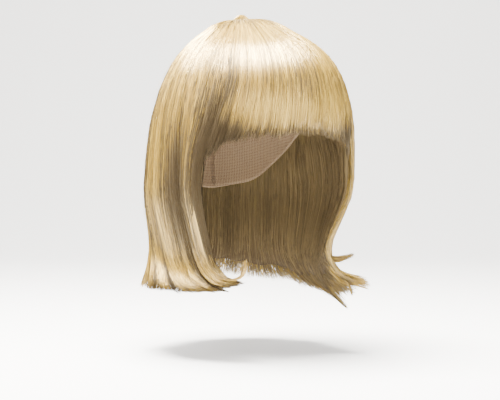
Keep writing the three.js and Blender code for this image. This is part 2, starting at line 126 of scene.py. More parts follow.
@dataclass
class HairForm:
    """The surface that the outermost fibres follow, and the head under it.

    The surface is worked out once on a grid of azimuth and level, and read from it afterwards. The swell
    fills out the near side, and the loft lifts the hair round the whorl.
    """

    head_half_width: float = 76
    head_half_length: float = 94
    head_height: float = 112
    waist: float = 8
    tips: float = 13
    tuck_ends: float = 0.7
    turn_starts: float = 0.45
    turn_steps: int = 24
    azimuth_step: float = 1.5
    level_step: float = 0.1
    last_level: float = 13.7
    blend_degrees: float = 4.0
    swell: float = 4.0
    swell_azimuth: float = -112.0
    swell_degrees: float = 32.0
    swell_level: float = 8.7
    swell_levels: float = 1.7
    loft: float = 2.4
    loft_azimuth: float = 63.0
    loft_least: float = 0.45
    loft_level: float = 0.95
    loft_levels: float = 0.75
    knot_dip: float = 2.8
    knot_levels: float = 0.3
    points: np.ndarray = field(init=False)
    normals: np.ndarray = field(init=False)

    def __post_init__(self) -> None:
        """Works out the grid of points and of outward directions."""
        azimuths = np.arange(-180, 180 + self.azimuth_step / 2, self.azimuth_step)
        levels = np.arange(0, self.last_level, self.level_step)
        self.points = self.outside(*np.meshgrid(azimuths, levels, indexing="ij"))
        round_step = np.gradient(self.points, axis=0)
        round_step[[0, -1]] = (self.points[1] - self.points[-2]) / 2
        self.normals = unit(np.cross(np.gradient(self.points, axis=1), round_step))

    def level_values(self, level: np.ndarray) -> np.ndarray:
        """Reads the level table on a smooth curve through its rows.

        Args:
            level: Levels, of any shape. Below the waist the last row holds.

        Returns:
            The columns of the table in a last axis.
        """
        table = np.array(LEVELS, float)
        last = len(table) - 1
        level = np.clip(level, 0, last)
        i = np.clip(np.floor(level).astype(int), 0, last - 1)
        f = (level - i)[..., None]
        p0, p1, p2, p3 = (table[np.clip(i + n, 0, last)] for n in (-1, 0, 1, 2))
        square = 2 * p0 - 5 * p1 + 4 * p2 - p3
        cubic = -p0 + 3 * p1 - 3 * p2 + p3
        return 0.5 * (2 * p1 + (p2 - p0) * f + square * f**2 + cubic * f**3)

    def end_values(self, azimuth: np.ndarray) -> dict[str, np.ndarray]:
        """Reads the table of ends, rounded off between its rows.

        Args:
            azimuth: Azimuths in degrees, of any shape.

        Returns:
            Each column of the table by its name.
        """
        rows = np.array(ENDS, float)
        found = {}
        for column, name in enumerate(End._fields[1:], start=1):
            total = 0
            for side, weight in ((-1, 0.25), (0, 0.5), (1, 0.25)):
                at = (azimuth + side * self.blend_degrees + 180) % 360 - 180
                total = total + weight * np.interp(at, rows[:, 0], rows[:, column])
            found[name] = total
        return found

    def turned(self, hung: np.ndarray, end: dict[str, np.ndarray]) -> tuple[np.ndarray, np.ndarray]:
        """Follows the ends while they turn away from straight down.

        Args:
            hung: How far along the ends the points lie, from 0 at the waist to 1 at the tips.
            end: The table of ends at the points.

        Returns:
            How far the points lie sideways and down from the waist, in millimetres.
        """
        sideways = np.zeros_like(hung)
        down = np.zeros_like(hung)
        for i in range(self.turn_steps):
            at = hung * (i + 0.5) / self.turn_steps
            angle = np.radians(end["turn"]) * smooth((at - self.turn_starts) / (1 - self.turn_starts))
            sideways += np.sin(angle)
            down += np.cos(angle)
        step = hung / self.turn_steps * end["length"]
        return sideways * step, down * step

    def swollen(self, azimuth: np.ndarray, level: np.ndarray) -> np.ndarray:
        """How far the swell stands out from the tables.

        Args:
            azimuth: Azimuths in degrees.
            level: Levels, of the same shape.

        Returns:
            Distances in millimetres.
        """
        across = ((azimuth - self.swell_azimuth + 180) % 360 - 180) / self.swell_degrees
        along = (level - self.swell_level) / self.swell_levels
        return self.swell * np.exp(-(across**2) - along**2)

    def puffed(self, angle: np.ndarray, level: np.ndarray) -> np.ndarray:
        """How far the hair rises round the whorl and dips at it.

        Args:
            angle: Azimuths in radians.
            level: Levels, of the same shape.

        Returns:
            Heights in millimetres.
        """
        fuller = self.loft_least + (1 - self.loft_least) * np.cos(angle - math.radians(self.loft_azimuth))
        loft = self.loft * fuller * np.exp(-(((level - self.loft_level) / self.loft_levels) ** 2))
        return loft - self.knot_dip * np.exp(-((level / self.knot_levels) ** 2))

    def outside(self, azimuth: np.ndarray, level: np.ndarray) -> np.ndarray:
        """The points of the surface.

        Args:
            azimuth: Azimuths in degrees.
            level: Levels, of the same shape.

        Returns:
            Points in millimetres, with x, y and z in a last axis.
        """
        row = self.level_values(np.minimum(level, self.waist))
        height, front, side, back, behind = (row[..., n] for n in range(len(Level._fields)))
        end = self.end_values(azimuth)
        angle = np.radians(azimuth)
        direction = np.stack([np.sin(angle), -np.cos(angle)], -1)
        along = np.where(np.cos(angle) > 0, front, back)
        radius = 1 / np.hypot(direction[..., 0] / side, direction[..., 1] / along)
        hung = np.maximum(level - self.waist, 0) / (self.tips - self.waist)
        sideways, down = self.turned(hung, end)
        forward = np.stack([np.zeros_like(angle), end["forward"]], -1)
        heading = unit(direction * end["out"][..., None] - forward)
        reach = radius - end["tuck"] * smooth(hung / self.tuck_ends) + self.swollen(azimuth, level)
        flat = direction * reach[..., None] + heading * sideways[..., None]
        return np.stack([flat[..., 0], flat[..., 1] + behind, height - down + self.puffed(angle, level)], -1)

    def surface(self, azimuth: np.ndarray, level: np.ndarray) -> tuple[np.ndarray, np.ndarray]:
        """Reads points and outward directions from the grid.

        Args:
            azimuth: Azimuths in degrees.
            level: Levels, of the same shape.

        Returns:
            The points in millimetres, and the outward directions of length 1.
        """
        count_a, count_l = self.points.shape[:2]
        a = ((azimuth + 180) % 360) / self.azimuth_step
        k = np.clip(level / self.level_step, 0, count_l - 1.001)
        ia = np.clip(np.floor(a).astype(int), 0, count_a - 2)
        ik = np.floor(k).astype(int)
        fa = (a - ia)[..., None]
        fl = (k - ik)[..., None]
        found = []
        for grid in (self.points, self.normals):
            near = grid[ia, ik] * (1 - fa) + grid[ia + 1, ik] * fa
            far = grid[ia, ik + 1] * (1 - fa) + grid[ia + 1, ik + 1] * fa
            found.append(near * (1 - fl) + far * fl)
        points, normals = found
        return points, unit(normals)

    def on_head(self, points: np.ndarray, grown: float) -> np.ndarray:
        """Moves points to the surface of a grown head, along lines to its centre.

        Args:
            points: Points in millimetres.
            grown: How many millimetres larger than the head.

        Returns:
            The moved points.
        """
        centre = np.array([0, 0, -self.head_height])
        half = np.array([self.head_half_width, self.head_half_length, self.head_height]) + grown
        p = points - centre
        return centre + p / np.linalg.norm(p / half, axis=-1, keepdims=True)


class Edge(Enum):
    """The lines at which one section of hair meets the next.

    Each has its azimuth at the waist, and the depth of the groove along it as a share of the folds between
    locks.
    """

    PARTING_RIGHT = (-58, 1.2)
    PARTING_LEFT = (58, 1.2)
    FOLD_RIGHT = (-71, 2.4)
    FOLD_LEFT = (77, 1.0)
    BREAK_RIGHT = (-120, 0.5)
    BREAK_LEFT = (120, 0.5)
    NAPE_RIGHT = (-180, 0.5)
    NAPE_LEFT = (180, 0.5)

    def __init__(self, waist_azimuth: float, depth: float) -> None:
        """Keeps the line's two numbers."""
        self.waist_azimuth = waist_azimuth
        self.depth = depth

    def azimuth(self, level: np.ndarray) -> np.ndarray:
        """Follows the line up the hair. The partings close in towards the whorl.

        Args:
            level: Levels, of any shape.

        Returns:
            The azimuths in degrees.
        """
        if self in (Edge.PARTING_RIGHT, Edge.PARTING_LEFT):
            side = math.copysign(1, self.waist_azimuth)
            return side * np.interp(level, (4.5, 6, 7, 8), (41, 47.5, 56, abs(self.waist_azimuth)))
        return np.full_like(np.asarray(level, float), self.waist_azimuth)


class Lock(NamedTuple):
    """One lock of a section: its share of the width, how proud it stands and how much longer it is."""

    width: float
    lift: float
    longer: float


class Shade(NamedTuple):
    """A patch of a section, by share and level, that is darker or lighter than the rest: mostly painted shade,
    in folds, grooves, corners and under edges, and painted highlights where the hair turns towards the lights.
    """

    share: float
    level: float
    half_width: float
    half_height: float
    tone: float


def fill(tree: bpy.types.NodeTree, node: bpy.types.Node, given: dict[str | int, object]) -> None:
    """Links sockets to a node's inputs, or sets plain values on them.

    Args:
        tree: The node's tree.
        node: The node.
        given: What each input gets, by the input's name or number.
    """
    for key, value in given.items():
        if isinstance(value, bpy.types.NodeSocket):
            tree.links.new(value, node.inputs[key])
        else:
            node.inputs[key].default_value = value


def add_node(tree: bpy.types.NodeTree, kind: str, given: dict[str | int, object] | None = None,
             **options: object) -> bpy.types.Node:
    """Adds a node to a tree.

    Args:
        tree: The tree.
        kind: The node's type.
        given: What its inputs get, by name or number.
        options: The node's own settings.

    Returns:
        The new node.
    """
    node = tree.nodes.new(kind)
    for name, value in options.items():
        setattr(node, name, value)
    fill(tree, node, given or {})
    return node


def read(tree: bpy.types.NodeTree, name: str) -> bpy.types.NodeSocket:
    """Reads one of a piece's attributes in its material."""
    return add_node(tree, "ShaderNodeAttribute", attribute_name=name).outputs["Fac"]


@dataclass(frozen=True)
class FibreFinish:
    """The finish of the synthetic fibre, from its shaded roots to its pale ends."""

    name: str = "blond_fibre"
    # The colour of painted shade, at the fibres' roots and where tints fall under 0.
    shadow: tuple[float, float, float] = (0.038, 0.026, 0.014)
    ash: tuple[float, float, float] = (0.088, 0.062, 0.030)
    gold: tuple[float, float, float] = (0.262, 0.171, 0.029)
    cream: tuple[float, float, float] = (0.590, 0.448, 0.106)
    sheen: tuple[float, float, float] = (1.000, 0.860, 0.520)
    roughness: float = 0.29
    dark_roughness: float = 0.12
    metallic: float = 0.35
    ior: float = 1.6
    specular: float = 0.2
    gloss: float = 1.0
    gloss_ior: float = 1.75
    gloss_roughness: float = 0.26

    def tint(self, tree: bpy.types.NodeTree) -> bpy.types.NodeSocket:
        """Reads each fibre's own tint."""
        return read(tree, "tint")

    def toned(self, tree: bpy.types.NodeTree, tone: bpy.types.NodeTree) -> bpy.types.Node:
        """Places the shared tone group, with this finish's colours and tint.

        Args:
            tree: The material's tree.
            tone: The shared group.

        Returns:
            The placed node.
        """
        given = {name: (*getattr(self, name.lower()), 1) for name in TONES}
        given["Base Roughness"] = self.roughness + self.dark_roughness
        given["Gloss"] = self.gloss
        given["Tint"] = self.tint(tree)
        given["Along"] = read(tree, "along")
        return add_node(tree, "ShaderNodeGroup", given, node_tree=tone)

    def material(self, tone: bpy.types.NodeTree) -> bpy.types.Material:
        """Builds the material.

        Args:
            tone: The shared group that mixes the tone of a fibre.

        Returns:
            The new material.
        """
        made = bpy.data.materials.new(self.name)
        made.use_nodes = True
        tree = made.node_tree
        group = self.toned(tree, tone)
        shader = tree.nodes["Principled BSDF"]
        fill(tree, shader, {
            "Base Color": group.outputs["Colour"],
            "Roughness": group.outputs["Roughness"],
            "IOR": self.ior,
            "Metallic": self.metallic,
            "Specular IOR Level": self.specular,
            "Specular Tint": (*self.sheen, 1),
            "Coat Tint": (*self.sheen, 1),
            "Coat IOR": self.gloss_ior,
            "Coat Roughness": self.gloss_roughness,
        })
        if self.gloss:
            tree.links.new(group.outputs["Coat"], shader.inputs["Coat Weight"])
        return made


@dataclass(frozen=True)
class InnerFinish(FibreFinish):
    """The same fibre on the inside of the hair, in darker colours that paint the shade it lies in, and hardly
    shining.
    """

    name: str = "inner_fibre"
    # Darker copies of the fibre's colours: painted shade.
    gold: tuple[float, float, float] = (0.150, 0.106, 0.048)
    cream: tuple[float, float, float] = (0.320, 0.240, 0.115)
    roughness: float = 0.55
    metallic: float = 0.1
    specular: float = 0.15
    gloss: float = 0.0


@dataclass(frozen=True)
class UndercoatFinish(FibreFinish):
    """The same fibre where it lies packed under the surface: in darker colours that paint its shade, duller,
    streaked, and with painted shade towards its hem.
    """

    STREAK = "Streak"
    name: str = "undercoat"
    # Darker copies of the fibre's colours: painted shade.
    gold: tuple[float, float, float] = (0.105, 0.076, 0.028)
    cream: tuple[float, float, float] = (0.190, 0.141, 0.054)
    roughness: float = 0.65
    metallic: float = 0.0
    specular: float = 0.06
    gloss: float = 0.0
    streaks: float = 900.0
    breaks: float = 12.0
    dark_streak: float = -0.4
    pale_streak: float = 0.45
    hem_starts: float = 0.78
    hem_painted_shade: float = -0.55
    relief: float = 0.0006
    bump: float = 0.35

    def tint(self, tree: bpy.types.NodeTree) -> bpy.types.NodeSocket:
        """Makes streaks that run along the piece's own map, and paints shade over them towards its hem.

        Args:
            tree: The material's tree.

        Returns:
            The tint.
        """
        flow = add_node(tree, "ShaderNodeUVMap", uv_map=Flow.MAP)
        scale = (self.streaks, self.breaks, 1)
        stretch = add_node(tree, "ShaderNodeMapping", {"Vector": flow.outputs["UV"], "Scale": scale})
        given = {"Vector": stretch.outputs["Vector"], "Scale": 1, "Detail": 3}
        streak = add_node(tree, "ShaderNodeTexNoise", given, name=self.STREAK).outputs["Fac"]
        given = {"Value": streak, "From Min": 0.3, "From Max": 0.7, "To Min": self.dark_streak,
                 "To Max": self.pale_streak}
        shaded = add_node(tree, "ShaderNodeMapRange", given)
        # Painted shade towards the hem.
        given = {"Value": read(tree, "along"), "From Min": self.hem_starts, "To Max": self.hem_painted_shade}
        hem = add_node(tree, "ShaderNodeMapRange", given)
        given = {0: shaded.outputs["Result"], 1: hem.outputs["Result"]}
        return add_node(tree, "ShaderNodeMath", given, operation="ADD").outputs[0]

    def material(self, tone: bpy.types.NodeTree) -> bpy.types.Material:
        """Builds the material, with a fine relief that follows the streaks.

        Args:
            tone: The shared group that mixes the tone of a fibre.

        Returns:
            The new material.
        """
        made = super().material(tone)
        tree = made.node_tree
        streak = tree.nodes[self.STREAK].outputs["Fac"]
        given = {"Height": streak, "Distance": self.relief, "Strength": self.bump}
        bump = add_node(tree, "ShaderNodeBump", given)
        fill(tree, tree.nodes["Principled BSDF"], {"Normal": bump.outputs["Normal"]})
        return made


@dataclass(frozen=True)
class NetFinish:
    """The finish of the cap: a fine matt stretch net."""

    name: str = "cap_net"
    thread: tuple[float, float, float] = (0.26, 0.175, 0.095)
    hole: tuple[float, float, float] = (0.09, 0.055, 0.03)
    pitch: float = 0.0016
    unevenness: float = 0.25
    thread_within: float = 0.1
    hole_beyond: float = 0.26
    relief: float = 0.0005
    bump: float = 0.8
    roughness: float = 0.8

    def material(self) -> bpy.types.Material:
        """Builds the material, whose net follows the cap's own map.

        Returns:
            The new material.
        """
        made = bpy.data.materials.new(self.name)
        made.use_nodes = True
        tree = made.node_tree
        place = add_node(tree, "ShaderNodeUVMap", uv_map=Flow.MAP)
        given = {"Vector": place.outputs["UV"], "Scale": 1 / self.pitch, "Randomness": self.unevenness}
        net = add_node(tree, "ShaderNodeTexVoronoi", given, feature="DISTANCE_TO_EDGE")
        given = {"Value": net.outputs["Distance"], "From Min": self.hole_beyond,
                 "From Max": self.thread_within}
        thread = add_node(tree, "ShaderNodeMapRange", given).outputs["Result"]
        given = {"Factor": thread, "A": (*self.hole, 1), "B": (*self.thread, 1)}
        colour = add_node(tree, "ShaderNodeMix", given, data_type="RGBA")
        given = {"Height": thread, "Distance": self.relief, "Strength": self.bump}
        bump = add_node(tree, "ShaderNodeBump", given)
        fill(tree, tree.nodes["Principled BSDF"], {
            "Base Color": colour.outputs["Result"],
            "Normal": bump.outputs["Normal"],
            "Roughness": self.roughness,
        })
        return made


def tone_group() -> bpy.types.NodeTree:
    """Builds the shared group that mixes a fibre's tone.

    Returns:
        A group that takes the fibre's tint, its place along the fibre and four colours, and puts out a colour,
        a roughness and the weight of the gloss over it. Tints under 0 get painted shade, and so does each
        fibre's root.
    """
    group = bpy.data.node_groups.new("fibre_tone", "ShaderNodeTree")
    for name in ("Tint", "Along", "Base Roughness", "Gloss"):
        group.interface.new_socket(name, in_out="INPUT", socket_type="NodeSocketFloat")
    for name in TONES:
        group.interface.new_socket(name, in_out="INPUT", socket_type="NodeSocketColor")
    group.interface.new_socket("Colour", in_out="OUTPUT", socket_type="NodeSocketColor")
    group.interface.new_socket("Roughness", in_out="OUTPUT", socket_type="NodeSocketFloat")
    group.interface.new_socket("Coat", in_out="OUTPUT", socket_type="NodeSocketFloat")
    given = add_node(group, "NodeGroupInput").outputs

    def mixed(by: str, low: float, high: float, a: bpy.types.NodeSocket,
              b: bpy.types.NodeSocket) -> bpy.types.NodeSocket:
        """Goes from one colour to another while an input goes from low to high.

        Args:
            by: The input's name.
            low: Its value up to which the first colour holds.
            high: Its value from which the second colour holds.
            a: The first colour.
            b: The second colour.

        Returns:
            The mixed colour.
        """
        stretch = {"Value": given[by], "From Min": low, "From Max": high}
        share = add_node(group, "ShaderNodeMapRange", stretch, interpolation_type="SMOOTHSTEP")
        colours = {"Factor": share.outputs["Result"], "A": a, "B": b}
        return add_node(group, "ShaderNodeMix", colours, data_type="RGBA").outputs["Result"]

    deep = mixed("Tint", -0.5, 0.05, given["Shadow"], given["Ash"])
    low = mixed("Tint", 0.0, 0.42, deep, given["Gold"])
    full = mixed("Tint", 0.4, 0.95, low, given["Cream"])
    # Painted shade at the root of each fibre, where it dives under the others.
    colour = mixed("Along", -0.06, 0.07, given["Shadow"], full)
    smoother = {0: given["Tint"], 1: -0.2, 2: given["Base Roughness"]}
    roughness = add_node(group, "ShaderNodeMath", smoother, operation="MULTIPLY_ADD")
    glossier = {"Value": given["Tint"], "From Min": -0.1, "From Max": 0.9, "To Max": given["Gloss"]}
    coat = add_node(group, "ShaderNodeMapRange", glossier)
    found = {"Colour": colour, "Roughness": roughness.outputs[0], "Coat": coat.outputs["Result"]}
    add_node(group, "NodeGroupOutput", found)
    return group


def between(first: np.ndarray, second: np.ndarray) -> np.ndarray:
    """The corners of the faces between two rows of points, or between many, by the points' numbers."""
    return np.stack([first[..., :-1], first[..., 1:], second[..., 1:], second[..., :-1]], -1)


@dataclass
class Flow:
    """A smooth closed wall made from an outer and an inner grid of points."""

    MAP = "flow"
    outer: np.ndarray
    inner: np.ndarray
    closed: bool = False

    def faces(self) -> np.ndarray:
        """Joins up the points of the two grids, and the rims between them.

        Returns:
            The numbers of the points, four for each face.
        """
        rows, columns = self.outer.shape[:2]
        outer = np.arange(rows * columns).reshape(rows, columns)
        if self.closed:
            outer = np.hstack([outer, outer[:, :1]])
        inner = outer + rows * columns
        turned = [0, 3, 2, 1]
        pairs = [
            (between(outer[:-1], outer[1:])[..., turned], between(inner[:-1], inner[1:])),
            (between(outer[0], inner[0]), between(outer[-1], inner[-1])[..., turned]),
        ]
        if not self.closed:
            left = between(outer[:, 0], inner[:, 0])[..., turned]
            pairs.append((left, between(outer[:, -1], inner[:, -1])))
        return np.concatenate([np.stack(pair, -2).reshape(-1, 4) for pair in pairs])

    def lengths(self, axis: int) -> np.ndarray:
        """How far each outer point lies from the start of its row or column.

        Args:
            axis: 0 for lengths along the hair, 1 for lengths across it.

        Returns:
            The lengths in millimetres.
        """
        steps = np.linalg.norm(np.diff(self.outer, axis=axis), axis=-1)
        start = np.zeros_like(steps.take([0], axis=axis))
        return np.cumsum(np.concatenate([start, steps], axis=axis), axis=axis)

    def mesh(self, name: str) -> bpy.types.Mesh:
        """Builds the wall's mesh, with a map in metres across and along the hair.

        Args:
            name: The mesh's name.

        Returns:
            The new mesh, in metres.
        """
        rows, columns = self.outer.shape[:2]
        points = np.concatenate([self.outer.reshape(-1, 3), self.inner.reshape(-1, 3)])
        made = bpy.data.meshes.new(name)
        made.from_pydata((points * MM).tolist(), [], self.faces().tolist())
        widest = np.broadcast_to(self.lengths(1)[rows // 2], (rows, columns))
        flat = np.stack([widest, self.lengths(0)], -1).reshape(-1, 2) * MM
        corners = np.zeros(len(made.loops), np.int32)
        made.loops.foreach_get("vertex_index", corners)
        flat = np.concatenate([flat, flat])[corners]
        made.uv_layers.new(name=self.MAP).data.foreach_set("uv", flat.astype(np.float32).ravel())
        share = np.tile(np.repeat(np.linspace(0, 1, rows), columns), 2)
        made.attributes.new("along", "FLOAT", "POINT").data.foreach_set("value", share.astype(np.float32))
        made.shade_smooth()
        return made


def put(name: str, mesh: bpy.types.Mesh, slot: str, *nodes: str) -> None:
    """Adds a finished piece to the scene and says what it rides on and stands for.

    Args:
        name: The piece's name.
        mesh: Its mesh, in place.
        slot: The record's material slot. Not used.
        nodes: The CAD nodes that it replaces.
    """
    piece = bpy.data.objects.new(name, mesh)
    bpy.context.scene.collection.objects.link(piece)
    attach(piece, BODY)
    if nodes:
        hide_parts(*nodes)
    mesh.calc_loop_triangles()
    log.info("%s: %d triangles", name, len(mesh.loop_triangles))


@dataclass
class FibreLines:
    """The centre lines of many fibres, each with the same number of points.

    The skin is the direction towards which a fibre's normals lean, and its length how much they lean.
    """

    points: np.ndarray
    skin: np.ndarray
    tint: np.ndarray
    taper: np.ndarray

    def mesh(self, name: str) -> bpy.types.Mesh:
        """Makes a mesh of edges from the lines, with the attributes that the fibres need.

        Args:
            name: The mesh's name.

        Returns:
            The new mesh, in metres.
        """
        fibres, length = self.points.shape[:2]
        made = bpy.data.meshes.new(name)
        made.vertices.add(fibres * length)
        made.vertices.foreach_set("co", (self.points * MM).astype(np.float32).ravel())
        first = np.arange(fibres * length).reshape(fibres, length)
        pairs = np.stack([first[:, :-1], first[:, 1:]], -1).reshape(-1, 2)
        made.edges.add(len(pairs))
        made.edges.foreach_set("vertices", pairs.astype(np.int32).ravel())
        number = np.repeat(np.arange(fibres), length)
        values = {
            "tint": np.broadcast_to(self.tint.reshape(fibres, -1), (fibres, length)).ravel(),
            "taper": np.broadcast_to(self.taper, (fibres, length)).ravel(),
            "along": np.tile(np.linspace(0, 1, length), fibres),
            "column": (number + 0.15) / fibres,
            "column_width": np.full(fibres * length, 0.7 / fibres),
        }
        for label, value in values.items():
            attribute = made.attributes.new(label, "FLOAT", "POINT")
            attribute.data.foreach_set("value", value.astype(np.float32))
        attribute = made.attributes.new("fibre", "INT", "POINT")
        attribute.data.foreach_set("value", number.astype(np.int32))
        attribute = made.attributes.new("skin", "FLOAT_VECTOR", "POINT")
        attribute.data.foreach_set("vector", self.skin.astype(np.float32).ravel())
        return made


def taper_profile(share: np.ndarray, root: float = 0.7, tip: float = 0.3) -> np.ndarray:
    """The relative width of a fibre along itself: fine at its root, full, then drawn out to its tip.

    Args:
        share: How far along the fibre, from 0 at its root to 1 at its tip.
        root: The width at the root.
        tip: The width at the tip.

    Returns:
        The widths, which are 1 where the fibre is full.
    """
    grown = root + (1 - root) * smooth(share / 0.15)
    drawn = 1 - (1 - tip) * smooth((share - 0.88) / 0.12)
    return grown * drawn


class FibreTree:
    """The Geometry Nodes tree that turns centre lines into tapered fibres."""

    flatness = 0.55
    extras = ("around", "column", "column_width", "taper", "fibre", "skin")

    def __init__(self) -> None:
        """Builds the tree, with its sizes as named inputs."""
        self.tree = bpy.data.node_groups.new("fibres", "GeometryNodeTree")
        self.sockets: dict[str, str] = {}
        self._input("Geometry", "NodeSocketGeometry", None)
        self._input("Fibre Width", "NodeSocketFloat", 0.0006)
        self._input("Width Spread", "NodeSocketFloat", 0.25)
        self._input("Sides", "NodeSocketInt", 3)
        self._input("Seed", "NodeSocketInt", 1)
        self._input("Material", "NodeSocketMaterial", None)
        self.tree.interface.new_socket("Geometry", in_out="OUTPUT", socket_type="NodeSocketGeometry")
        self._build()

    def _input(self, name: str, kind: str, default: float | int | None) -> None:
        """Adds a named input and keeps its identifier.

        Args:
            name: The input's name.
            kind: The type of its socket.
            default: Its value, if it has one.
        """
        socket = self.tree.interface.new_socket(name, in_out="INPUT", socket_type=kind)
        if default is not None:
            socket.default_value = default
        self.sockets[name] = socket.identifier

    def _node(self, kind: str, given: dict[str | int, object], **options: object) -> bpy.types.NodeSocket:
        """Adds a node and gives its first output."""
        return add_node(self.tree, "GeometryNode" + kind, given, **options).outputs[0]

    def _math(self, operation: str, *values: bpy.types.NodeSocket | float) -> bpy.types.NodeSocket:
        """Adds one step of arithmetic."""
        return add_node(self.tree, "ShaderNodeMath", dict(enumerate(values)), operation=operation).outputs[0]

    def _attribute(self, name: str, kind: str = "FLOAT") -> bpy.types.NodeSocket:
        """Reads an attribute of the centre lines."""
        return self._node("InputNamedAttribute", {"Name": name}, data_type=kind)

    def _stored(self, geometry: bpy.types.NodeSocket, name: str, value: bpy.types.NodeSocket, kind: str,
                domain: str) -> bpy.types.NodeSocket:
        """Stores a value as an attribute."""
        given = {"Geometry": geometry, "Name": name, "Value": value}
        return self._node("StoreNamedAttribute", given, data_type=kind, domain=domain)

    def _radius(self, given: bpy.types.NodeOutputs) -> bpy.types.NodeSocket:
        """Works out a radius along each fibre, from its taper and its own random width.

        Args:
            given: The tree's inputs.

        Returns:
            The radius.
        """
        spread = given["Width Spread"]
        varied = {
            2: self._math("SUBTRACT", 1.0, spread),
            3: self._math("ADD", 1.0, spread),
            "ID": self._attribute("fibre", "INT"),
            "Seed": given["Seed"],
        }
        varied = add_node(self.tree, "FunctionNodeRandomValue", varied, data_type="FLOAT").outputs[1]
        half = self._math("MULTIPLY", given["Fibre Width"], 0.5)
        return self._math("MULTIPLY", self._math("MULTIPLY", half, self._attribute("taper")), varied)

    def _build(self) -> None:
        """Adds the nodes: lines to curves, a swept profile, a width along it and a map with a column each."""
        given = add_node(self.tree, "NodeGroupInput").outputs
        curves = self._node("MeshToCurve", {"Mesh": given["Geometry"]})
        circle = {"Resolution": given["Sides"], "Radius": 1.0}
        profile = self._node("CurvePrimitiveCircle", circle, mode="RADIUS")
        around = self._math("DIVIDE", self._node("InputIndex", {}), given["Sides"])
        profile = self._stored(profile, "around", around, "FLOAT", "POINT")
        sweep = {"Curve": curves, "Profile Curve": profile, "Scale": self._radius(given), "Fill Caps": True}
        swept = self._node("CurveToMesh", sweep)
        column = self._math("MULTIPLY", self._attribute("around"), self._attribute("column_width"))
        place = {"X": self._math("ADD", self._attribute("column"), column), "Y": self._attribute("along")}
        place = add_node(self.tree, "ShaderNodeCombineXYZ", place).outputs["Vector"]
        mapped = self._stored(swept, "OFBake", place, "FLOAT2", "CORNER")
        shaded = self._node("SetShadeSmooth", {"Geometry": mapped})
        realized = self._node("RealizeInstances", {"Geometry": shaded})
        dressed = self._node("SetMaterial", {"Geometry": realized, "Material": given["Material"]})
        add_node(self.tree, "NodeGroupOutput", {"Geometry": dressed})

    def flatten_normals(self, mesh: bpy.types.Mesh) -> None:
        """Leans the fibres' normals towards the hair's surface, so that packed fibres share one sheen.

        Args:
            mesh: The fibres, with their skin as an attribute.
        """
        normals = np.zeros((len(mesh.vertices), 3), np.float32)
        skin = np.zeros_like(normals)
        mesh.vertex_normals.foreach_get("vector", normals.ravel())
        mesh.attributes["skin"].data.foreach_get("vector", skin.ravel())
        skin *= self.flatness
        mixed = normals * (1 - np.linalg.norm(skin, axis=1, keepdims=True)) + skin
        mixed /= np.maximum(np.linalg.norm(mixed, axis=1, keepdims=True), 1e-6)
        mesh.normals_split_custom_set_from_vertices(mixed.tolist())

    def grow(self, name: str, lines: FibreLines, material: bpy.types.Material, width: float,
             seed: int) -> bpy.types.Mesh:
        """Sweeps fibres along centre lines.

        Args:
            name: The new mesh's name.
            lines: The centre lines with their tint and taper.
            material: The fibres' material.
            width: The fibres' width in millimetres.
            seed: The seed of their spread in width.

        Returns:
            The plain mesh of all the fibres.
        """
        carrier = bpy.data.objects.new(name + "_lines", lines.mesh(name + "_lines"))
        bpy.context.scene.collection.objects.link(carrier)
        modifier = carrier.modifiers.new("fibres", "NODES")
        modifier.node_group = self.tree
        for label, value in {"Fibre Width": width * MM, "Seed": seed, "Material": material}.items():
            modifier[self.sockets[label]] = value
        graph = bpy.context.evaluated_depsgraph_get()
        made = bpy.data.meshes.new_from_object(carrier.evaluated_get(graph))
        made.name = name
        carrier.modifiers.remove(modifier)
        lines_mesh = carrier.data
        bpy.data.objects.remove(carrier)
        bpy.data.meshes.remove(lines_mesh)
        self.flatten_normals(made)
        for extra in self.extras:
            if extra in made.attributes:
                made.attributes.remove(made.attributes[extra])
        return made


@dataclass
class Clumps:
    """The small clumps that a section's fibres gather into, with one value for each fibre.

    Off is how far a fibre starts from the middle of its clump, in widths of a clump.
    """

    layer: np.ndarray
    centre: np.ndarray
    off: np.ndarray
    tint: np.ndarray
    depth: np.ndarray
    longer: np.ndarray
    phase: np.ndarray
    wave: np.ndarray


